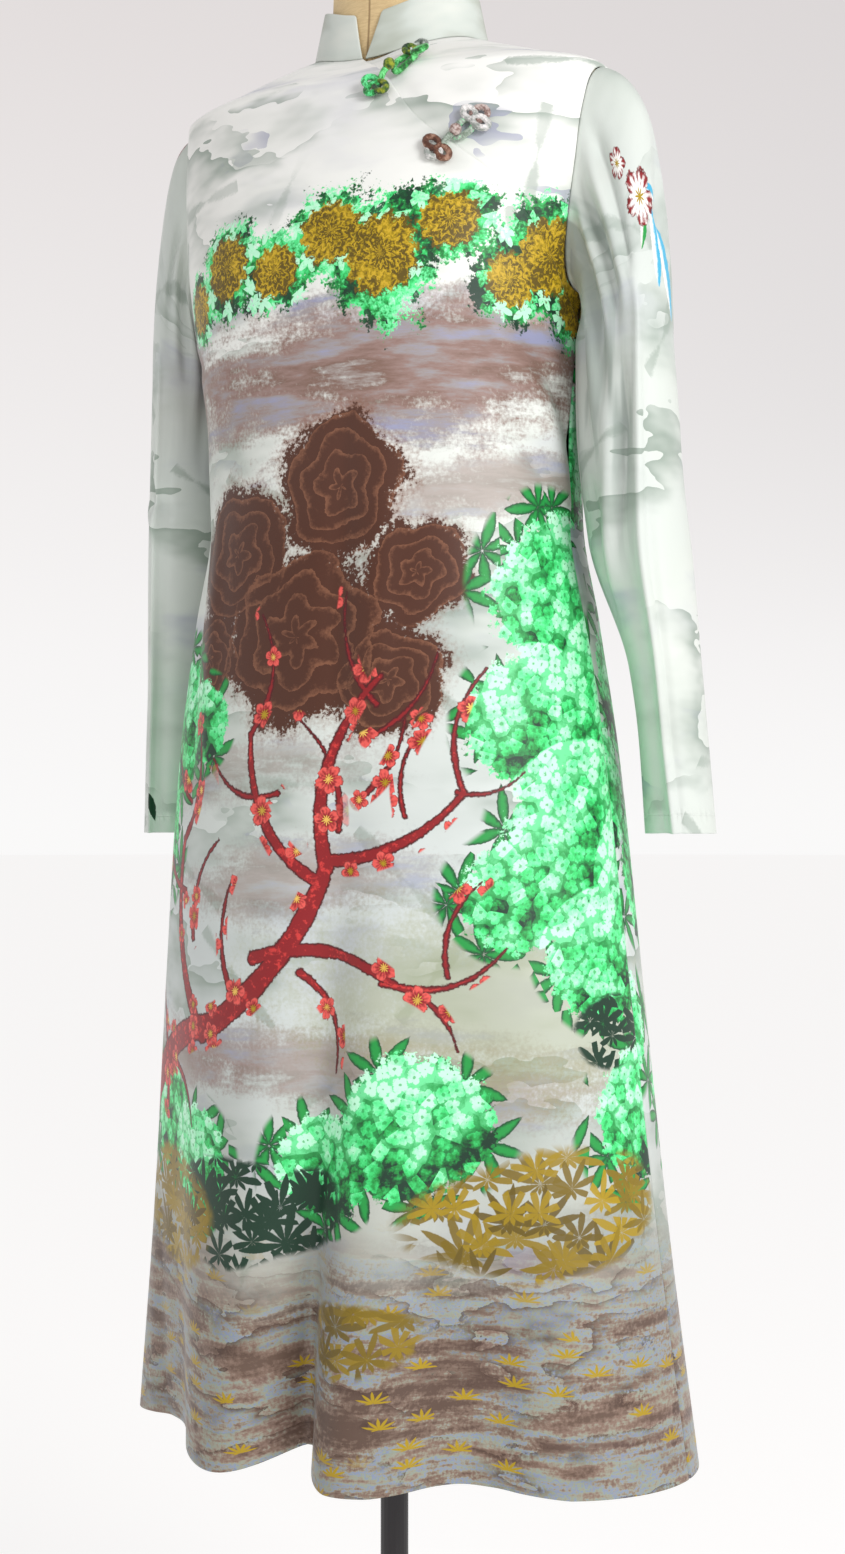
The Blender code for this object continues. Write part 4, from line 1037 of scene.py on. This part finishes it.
def makePrint(name, kind, hem, facts=None):
    made, maker, shader = startMaterial(
        name, {"Roughness": 0.46, "Sheen Weight": 0.18, "Sheen Roughness": 0.35, "Specular IOR Level": 0.4}
    )
    place = maker.node("UVMap", {"uv_map": "flatCloth"}).squeezed()
    across, up, _ = parts(place)
    spot = (across, up)

    def cloud(scale, detail, roughness=0.55, out=0, stretch=1):
        cloth = place if stretch == 1 else place.squeezed(Scale=(1, stretch, 1))
        return cloth.noise(scale, detail, roughness, out, {"noise_dimensions": "2D"})

    broad = shades(cloud(5.5, 3.0, 0.5, 1))
    long = shades(cloud(4.2, 4.0, 0.55, 1, 2.6))
    ragged = cloud(42.0, 5.0, 0.68)
    speck = cloud(330.0, 2.0, 0.6)
    dry = (ragged * 0.65 + speck * 0.5) - 0.575  # about zero, for brushed edges

    # misty ground with soft puffed clouds, each with a crisp upper edge and a long fade below
    level = broad[1] * 0.3 + 0.38 if kind == "sleeve" else up / 1.155
    colour = ramp(level + (broad[0] - 0.5) * 0.2, (0.0, (160, 164, 150)), (0.16, (184, 188, 180)),
                  (0.3, (204, 211, 210)), (0.55, (212, 218, 211)), (0.72, (230, 232, 227)), (0.9, "paper"))
    for number, (rise, drift, tone, low, high, force) in enumerate((
        (6.4, 3.0, "greyGreen", 0.44, 0.6, 0.95), (4.6, -2.4, "lilac", 0.52, 0.64, 0.65),
        (9.0, 3.6, "greyGreen", 0.5, 0.62, 0.6),
    )):
        puff = (across * (17 + 5 * number) + long[1] * 6).sine().size()
        run = up * rise + long[number] * drift - puff * 0.15 + ragged * 0.035
        veil = (run.fraction() ** 2.4) * long[(number + 1) % 3].step(low, high)
        colour = colour.over(tone, veil * force)
    # a few faint long leaves in the mist
    off, chance = cells(place, spot, 13.0)
    blade = spray(off, 1, 0.074, 0.0058, chance[0] * 6.28) + dry * 1.4
    colour = colour.over("greyGreen", blade.step(0.3, -0.4) * (chance[1] + long[0] * 0.5).step(0.85, 1.05) * 0.6)

    if kind == "collar":
        colour = ramp(long[0] + (broad[1] - 0.5) * 0.6, (0.3, "greyGreen"), (0.46, (176, 182, 170)),
                      (0.58, "mist"), (0.75, (226, 228, 220)))

    if kind == "dress":
        # brushed streaks under the bust and across the skirt
        streak = cloud(7.5, 6.0, 0.66, 0, 5.0)
        dusk = ramp(streak, (0.3, "lilac"), (0.42, (150, 140, 140)), (0.5, "mauve"),
                    (0.6, (118, 84, 70)), (0.7, (160, 150, 146)), (0.82, "greyGreen"))
        for middle, size, turn, force in (
            ((0.08, 0.822), (0.24, 0.05), 0.06, 0.95), ((-0.2, 0.84), (0.12, 0.036), -0.1, 0.8),
            ((0.15, 0.735), (0.12, 0.022), 0.12, 0.6), ((0.06, 0.3), (0.2, 0.028), -0.06, 0.6),
            ((-0.1, 0.52), (0.14, 0.02), 0.08, 0.45), ((0.34, 0.83), (0.14, 0.044), -0.05, 0.9),
            ((-0.02, 0.44), (0.1, 0.026), 0.1, 0.55), ((-0.16, 0.3), (0.12, 0.024), 0.05, 0.6),
        ):
            band = patch(spot, middle, size, turn) + dry * 1.6 + (streak - 0.5) * 2.4
            colour = colour.over(dusk, band.step(0.45, -0.45) * force)
        band = patch(spot, (0.17, 0.35), (0.17, 0.06), -0.1) + dry * 1.8
        colour = colour.over("khaki", band.step(0.5, -0.5) * 0.5)

        # the wash at the hem: streaks of brown, grey and blue with thin brushed lines
        wash = cloud(5.0, 7.0, 0.62, 0, 6.5)
        low = (up + (broad[2] - 0.5) * 0.1 + dry * 0.03).step(0.205, 0.12)
        tint = ramp(wash + dry * 0.35, (0.34, (88, 62, 50)), (0.41, (130, 106, 92)), (0.455, (150, 150, 134)),
                    (0.478, (126, 138, 176)), (0.5, (142, 154, 140)), (0.535, (150, 146, 130)), (0.59, (134, 108, 94)),
                    (0.68, (94, 68, 54)))
        colour = colour.over(tint, low * 0.95)
        run = up * 24 + long[1] * 7 + ragged * 0.5
        line = (run.fraction() ** 4) * (broad[0] + dry).step(0.36, 0.54)
        colour = colour.over((72, 50, 40), line * low * 0.85)
        off, chance = cells(place, spot, 30.0, 1.6)
        tuft = spray(off, 11, 0.0135, 0.0012, 0.0) + dry * 0.6 + (-off[1]).step(0.0, 0.003) * 2
        colour = colour.over("ochre", tuft.step(0.3, -0.2) * low * chance[0].step(0.56, 0.6))

        # big sepia peonies, brushed dry at their edges
        inside, rim = petalBlooms(spot, motifs["peonies"], 4.2, long[2] * 2.2 + broad[0] * 1.8 + ragged * 0.8)
        shape = inside + dry * 0.75
        colour = colour.over("sepiaLight", (shape + 0.02).step(0.26, -0.1) * 0.55)
        sepia = blend((rim + dry * 1.6).step(0.3, 1.15) * 0.85, "sepia", "sepiaLight")
        colour = colour.over(sepia, shape.step(0.03, -0.05))

        # dark leaves behind the mint heads
        inside, lit = [], []
        for x0, y0, wide, tall in metres(motifs["heads"]):
            x, y = within(spot, (x0, y0), (wide, tall))
            inside.append(far(x, y) - 1)
            lit.append(y * 0.32 - x * 0.16 + 0.5 - inside[-1].step(0.1, 0.3) * 4)
        inside, lit = reduce(Link.least, inside), reduce(Link.most, lit)
        off, chance = cells(place, spot, 21.0)
        blade = spray(off, 7, 0.034, 0.0046, chance[0] * 6.28)
        near = (inside + (broad[1] - 0.5) * 0.8).step(0.42, 0.3)
        leaf = blend((blade + dry).step(-0.7, 0.1), "emerald", "forest")
        colour = colour.over(leaf, (blade + dry * 0.6).step(0.08, -0.08) * near)
        # the heads are built of four-petalled florets, light above and dark below
        off, chance = cells(place, spot, 88.0)
        floret, reach, angle = petalled(off, 0.0062, 4, chance[0] * 6.28)
        shape = inside + floret * 0.1 + dry * 0.55
        tone = lit + (chance[1] - 0.5) * 0.55 + (ragged - 0.5) * 1.5 + (broad[1] - 0.5) * 0.7
        head = ramp(tone, (0.02, "forest"), (0.16, "emerald"), (0.34, (60, 214, 116)), (0.52, "mint"),
                    (0.86, "mintLight"))
        gap = ramp(tone, (0.1, "forest"), (0.5, "emerald"), (0.9, (84, 222, 138)))
        head = head.over(gap, (floret + dry * 1.4).step(-0.04, 0.12) * 0.85)
        head = head.over("emerald", (reach + dry).step(0.22, 0.12) * 0.7)
        colour = colour.over(head, shape.step(0.03, -0.03))

        # the red flowering branch and its open flowers and buds
        wood = reduce(Link.least, [stroke(spot, *line) for line in metres(motifs["branches"])])
        reach = wood + dry * 0.005
        colour = colour.over("redDark", reach.step(0.0007, -0.0005))
        grain = place.squeezed(Rotation=(0, 0, -0.8), Scale=(0.8, 1.2, 1))
        grain = grain.noise(150.0, 5.0, settings={"noise_dimensions": "2D"})
        colour = colour.over("red", (reach + 0.0012).step(0.0006, -0.0008))
        bright = (reach + 0.0014).step(0.0006, -0.001) * (grain + dry * 1.6).step(0.54, 0.78)
        colour = colour.over("coral", bright * 0.8)
        off, chance = cells(place, spot, 38.0)
        flower, reach, angle = petalled(off, 0.008 + chance[1] * 0.0056, 5, chance[2] * 6.28)
        chosen = (wood + (broad[1] - 0.5) * 0.012).step(0.008, 0.006) * chance[0].step(0.5, 0.52)
        red = blend((reach + dry * 1.5 + (angle * 15).sine() * 0.1).step(0.2, 0.85), "red", (232, 92, 84))
        red = red.over("redDark", (flower + dry * 0.5).step(-0.12, 0.0) * 0.8)
        heart = (reach + (angle * 10).sine() * 0.12 + dry * 0.6).step(0.28, 0.18)
        red = red.over(blend(chance[0].step(0.6, 0.9), "ochre", (232, 190, 90)), heart)
        colour = colour.over(red, (flower + dry * 0.7).step(0.04, -0.04) * chosen)

        # a garland over the bust: ochre chrysanthemums in mint and dark leaves
        bloom, rim = petalBlooms(spot, motifs["chrysanthemums"], 3.4, dry * 2.0 + ragged * 0.8)
        off, chance = cells(place, spot, 74.0)
        blade = spray(off, 5, 0.012, 0.0026, chance[0] * 6.28) + dry * 0.8
        near = bloom + dry * 2.2 + (broad[2] - 0.5) * 1.6
        green = ramp((ragged - 0.5) * 2.4 + (broad[1] - 0.5) * 1.4 + 0.42, (0.12, "forest"), (0.34, "emerald"),
                     (0.52, (60, 214, 116)), (0.74, "mint"), (0.95, "mintLight"))
        leaf = ramp(chance[1] + dry * 1.5, (0.18, "forest"), (0.38, "emerald"), (0.56, "mint"), (0.9, "mintLight"))
        green = green.over(leaf, blade.step(0.1, -0.1) * 0.9)
        colour = colour.over(green, near.step(0.62, 0.42))
        ochre = ramp(rim + dry * 2.2 + (ragged - 0.5), (0.0, "ochreDark"), (0.22, (136, 112, 10)), (0.45, "ochre"),
                     (0.95, (204, 168, 40)))
        colour = colour.over(ochre, (bloom + dry * 0.9).step(0.05, -0.05))

        # sprays of long leaves low on the skirt, dark green and ochre
        darkTufts = grove(spot, (-60, 190, 85, 40, 0.1), (250, 330, 40, 30, 0))
        ochreTufts = grove(spot, (185, 195, 95, 44, 0.1), (-165, 180, 75, 40, 0),
                           (70, 110, 60, 26, 0.1), (-310, 190, 50, 30, 0))
        for scale, blades, length, width in (
            (19.0, 10, 0.038, 0.0034), (26.0, 9, 0.03, 0.003), (33.0, 8, 0.025, 0.0026),
        ):
            off, chance = cells(place, spot, scale)
            blade = spray(off, blades, length, width, chance[0] * 6.28) + dry * 0.5
            blade = blade + (-off[1]).step(0.004, 0.014) * 2
            blade = blade.step(0.12, -0.12)
            colour = colour.over("forest", blade * (darkTufts + broad[0] - 0.5).step(0.12, -0.02))
            tone = blend(chance[1], "ochreDark", "ochre")
            colour = colour.over(tone, blade * (ochreTufts + broad[1] - 0.5).step(0.14, -0.1) * 0.95)

    if kind == "sleeve":
        # painted shade: the inner side, turned away from the light, is washed darker grey-green, in streaks that stand
        # for the shadows between the flutes; the spray's shade value sets how strongly
        fluteShade = cloud(85.0, 2.0, 0.5, 0, 0.11)
        inner = across.step(0.074, 0.056) * up.step(0.16, 0.32)
        colour = colour.over((136, 149, 141), inner * (fluteShade.step(0.4, 0.6) * 0.5 + 0.16) * facts["shade"])
        # one small spray on the upper sleeve and a dark leaf by the cuff
        bloomAt = facts["flower"]
        for leafAt, leafTurn, size, tone in facts["leaves"]:
            x, y = within(spot, leafAt, (size, size * 0.24), leafTurn)
            shape = y.size() + x * x - 1 + dry * 0.9
            leaf = blend((y + dry).step(-0.1, 0.5), tone, "paper")
            colour = colour.over(leaf, shape.step(0.08, -0.08))
        for flowerAt, size in ((bloomAt, 0.0165), ((bloomAt[0] - 0.006, bloomAt[1] + 0.026), 0.0085)):
            off = within(spot, flowerAt, (1, 1))
            flower, reach, angle = petalled(off, size, 5, 0.7)
            red = blend((reach + (angle * 15).sine() * 0.18 + dry * 1.5).step(0.4, 0.9), "paper", "red")
            red = red.over("redDark", (flower + dry).step(-0.12, 0.0) * 0.7)
            red = red.over("ochre", (reach + (angle * 9).sine() * 0.1).step(0.24, 0.16))
            colour = colour.over(red, (flower + dry * 0.6).step(0.04, -0.04))
        x, y = within(spot, facts["leaf"], (0.013, 0.0045), 1.2)
        shape = y.size() + x * x - 1 + dry * 0.5
        colour = colour.over("forest", shape.step(0.05, -0.05))

    # a fine smooth knit, seen only close to, and the blind hem with its slight pucker; heights in millimetres
    ribs = ((across * 9000).sine() + (up * 7600).sine()) * 0.008 + speck * 0.03
    fromHem = (up - hem).size()
    pucker = (across * 560 + ragged * 9).sine() * fromHem.step(0.009, 0.0) * 0.22
    height = ribs + pucker - fromHem.step(0.0011, 0.0002) * 0.25
    bump = height.bump(1.0, 0.001)
    feed(maker, shader, Base_Color=colour, Normal=bump, Roughness=0.42 + speck * 0.12)
    return made


# each sleeve's small printed spray, and shade: how strongly the sleeve's inner side is painted in shade, full on the
# left sleeve and faint on the right
sprays = {
    "left": {"shade": 1.0, "flower": (0.104, 0.448), "leaf": (0.2, 0.05), "leaves": (
        ((0.108, 0.418), 1.35, 0.024, "turquoise"), ((0.118, 0.404), 1.75, 0.026, "turquoise"),
        ((0.098, 0.432), 0.9, 0.014, "emerald"), ((0.116, 0.446), 2.5, 0.014, "turquoise"))},
    "right": {"shade": 0.12, "flower": (0.15, 0.492), "leaf": (0.064, 0.022), "leaves": (
        ((0.15, 0.462), 1.5, 0.022, "turquoise"),)},
}
frontPrint = makePrint("front print", "dress", 0.03)
backPrint = frontPrint.copy()  # the same cloth, seen the other way round, and not mirrored at the side seams
backPrint.name = "back print"
mapping = backPrint.node_tree.nodes["Mapping"].inputs
mapping["Scale"].default_value, mapping["Location"].default_value = (-1, 1, 1), (0.08, 0, 0)
for piece, cloths in (
    (front, frontPrint), (underlapPiece, frontPrint), (back, backPrint),
    (sleeveLeft, makePrint("left sleeve print", "sleeve", 0.014, sprays["left"])),
    (sleeveRight, makePrint("right sleeve print", "sleeve", 0.014, sprays["right"])),
    (collarPiece, makePrint("collar print", "collar", -0.02)),
):
    paint(piece, cloths)
print("cloth printed")


cordTones = {  # three tones each, from the hollows to the highlights of the print
    "mint": ("forest", "emerald", "mint"), "olive": ("forest", (70, 104, 14), (150, 158, 30)),
    "leaf": ((18, 78, 30), (44, 150, 60), (120, 226, 140)), "grey": ((96, 106, 98), (170, 180, 172), (226, 230, 226)),
    "brown": ("sepia", (104, 62, 42), (166, 128, 108)), "mauve": ((84, 62, 58), "mauve", (196, 180, 174)),
    "pale": ((150, 156, 150), (206, 204, 202), (242, 238, 236)), "stem": ((120, 136, 120), (176, 188, 176), "mint"),
}
cordFinish = {  # three petals, then the bar and the button, or three petals and the button's loop
    "upper": (("mint", "olive", "mint", "leaf", "olive"), ("grey", "olive", "leaf", "leaf")),
    "lower": (("pale", "brown", "brown", "stem", "mauve"), ("mauve", "pale", "pale", "stem")),
}


def makeCord(name, tones):
    # rolled strips of the printed cloth: patches of colour, and the strip's fine slanting folds
    made, maker, shader = startMaterial(name, {"Roughness": 0.5, "Sheen Weight": 0.25, "Specular IOR Level": 0.35})
    place = maker.node("TexCoord", None, None, "Object")
    splash = place.noise(130.0, 4.0, 0.7)
    tint = ramp(splash, *zip((0.4, 0.5, 0.6), tones))
    x, y, z = parts(place)
    folds = ((x + z) * 2300 + splash * 7).sine() * 0.5 + ((y - z) * 5200).sine() * 0.2
    feed(maker, shader, Base_Color=tint, Normal=folds.bump(0.45, 0.0006), Roughness=0.45 + splash * 0.15)
    return made


def makeFormCover():
    # plain linen on the form, with slubs and slight soiling
    made, maker, shader = startMaterial(
        "form cover", {"Roughness": 0.75, "Sheen Weight": 0.15, "Specular IOR Level": 0.25}
    )
    place = maker.node("TexCoord", None, None, "Object")
    x, y, z = parts(place)
    soil = place.noise(9.0, 5.0)
    slub = place.squeezed(Scale=(1, 1, 9)).noise(160.0, 3.0)
    around = y.turnFrom(x)
    weave = ((around * 900).sine() * 0.5 + 0.5) * ((z * 7600).sine() * 0.5 + 0.5)
    tone = ramp(soil * 0.6 + slub * 0.3 + weave * 0.12,
                (0.2, (184, 154, 110)), (0.5, (230, 204, 156)), (0.8, (242, 222, 184)))
    seam = (x.size() + slub * 0.0004).step(0.0016, 0.0006)
    tone = tone.over((128, 98, 62), seam * 0.7)
    feed(maker, shader, Base_Color=tone, Normal=(weave + slub - seam * 2).bump(0.35, 0.0006),
         Roughness=0.68 + slub * 0.2)
    return made


def makeStandPaint():
    # satin black on steel, with fine orange-peel, faint scuffs and a little dust
    made, maker, shader = startMaterial(
        "stand paint", {"Metallic": 0.0, "Roughness": 0.4, "Coat Weight": 0.1, "Coat Roughness": 0.2}
    )
    place = maker.node("TexCoord", None, None, "Object")
    peel = place.noise(420.0, 2.0)
    scuff = place.squeezed(Scale=(1, 1, 0.15)).noise(190.0, 5.0)
    tone = ramp(scuff, (0.45, (24, 18, 22)), (0.68, (34, 27, 32)), (0.82, (74, 70, 72)))
    feed(maker, shader, Base_Color=tone, Normal=peel.bump(0.12, 0.0004), Roughness=0.36 + scuff * 0.3)
    return made


cords = {name: makeCord(name + " cord", tones) for name, tones in cordTones.items()}
for key, halves in cordFinish.items():
    for piece, tubes in zip(frogPieces[key], halves):
        for slot, name in zip(piece.material_slots, tubes):
            slot.material = cords[name]
paint(formPiece, makeFormCover())
standPaint = makeStandPaint()
for name in ("stand_pole", "stand_base"):
    for slot in frame["nodes"][name].material_slots:
        slot.material = standPaint
print("cords, form and stand finished")

# plain pale floor and soft studio light
studio = {"paper": (0.46, 0.457, 0.454, 1), "glow": (1.0, 0.992, 0.985, 1), "floorGlow": 0.65, "room": 1.0}
window = {"place": (3.2, -1.6, 2.1), "aim": (0, 0, 0.9), "power": 78, "size": 1.3}


def makeStage():
    made, _, shader = startMaterial("studio paper", {
        "Roughness": 0.95, "Specular IOR Level": 0.0, "Base Color": studio["paper"],
        "Emission Color": studio["glow"], "Emission Strength": studio["floorGlow"],
    })
    form = bmesh.new()
    bmesh.ops.create_circle(form, cap_ends=True, segments=128, radius=60)
    mesh = bpy.data.meshes.new("studio floor")
    form.to_mesh(mesh)
    form.free()
    mesh.materials.append(made)
    addObject("studio floor", mesh)


def addWindow():
    data = bpy.data.lights.new("window", "AREA")
    data.energy, data.size = window["power"], window["size"]
    lamp = addObject("window", data)
    lamp.location = window["place"]
    lamp.rotation_euler = (Vector(window["aim"]) - lamp.location).to_track_quat("-Z", "Y").to_euler()


def lightRoom():
    # a pale room: brightest near the floor, darker towards the ceiling and to the front left
    world = bpy.data.worlds.new("studio")
    world.use_nodes = True
    maker = Link(world.node_tree)
    x, y, up = parts(maker.node("TexCoord"))
    shade = ramp(up, (0.0, (0.955, 0.948, 0.944, 1)), (0.08, (0.93, 0.915, 0.912, 1)),
                 (0.34, (0.78, 0.74, 0.735, 1)), (0.9, (0.52, 0.52, 0.52, 1)))
    shade = shade.over((0.62, 0.6, 0.605, 1), x.step(-0.7, -0.05) * up.step(0.01, 0.22) * 0.5)
    shade = shade.over((0.34, 0.34, 0.34, 1), (x * -0.75 - y * 0.66).step(0.15, 0.95) * up.step(0.0, 0.3) * 0.6)
    background = world.node_tree.nodes["Background"]
    feed(maker, background, Color=shade)
    background.inputs["Strength"].default_value = studio["room"]
    bpy.context.scene.world = world


makeStage()
lightRoom()
bpy.context.scene.view_settings.view_transform = "Standard"
addWindow()

# what each piece stands for, and how its cloth was cut
pairs = (
    (front, "front", "printed_cloth"),
    (underlapPiece, "left_front_underlap", "printed_cloth"),
    (back, "back", "printed_cloth"),
    (sleeveLeft, "sleeve_left", "printed_cloth"),
    (sleeveRight, "sleeve_right", "printed_cloth"),
    (collarPiece, "collar", "printed_cloth"),
    (frogPieces["upper"][0], "frog_upper_button_half", "green_cord"),
    (frogPieces["upper"][1], "frog_upper_loop_half", "green_cord"),
    (frogPieces["lower"][0], "frog_lower_button_half", "brown_cord"),
    (frogPieces["lower"][1], "frog_lower_loop_half", "brown_cord"),
    (formPiece, "dress_form", "form_cover"),
)
for piece, node, finish in pairs:
    piece.name = node.replace("_", "-") + "-piece"
    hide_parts(node)
    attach(piece, "root")
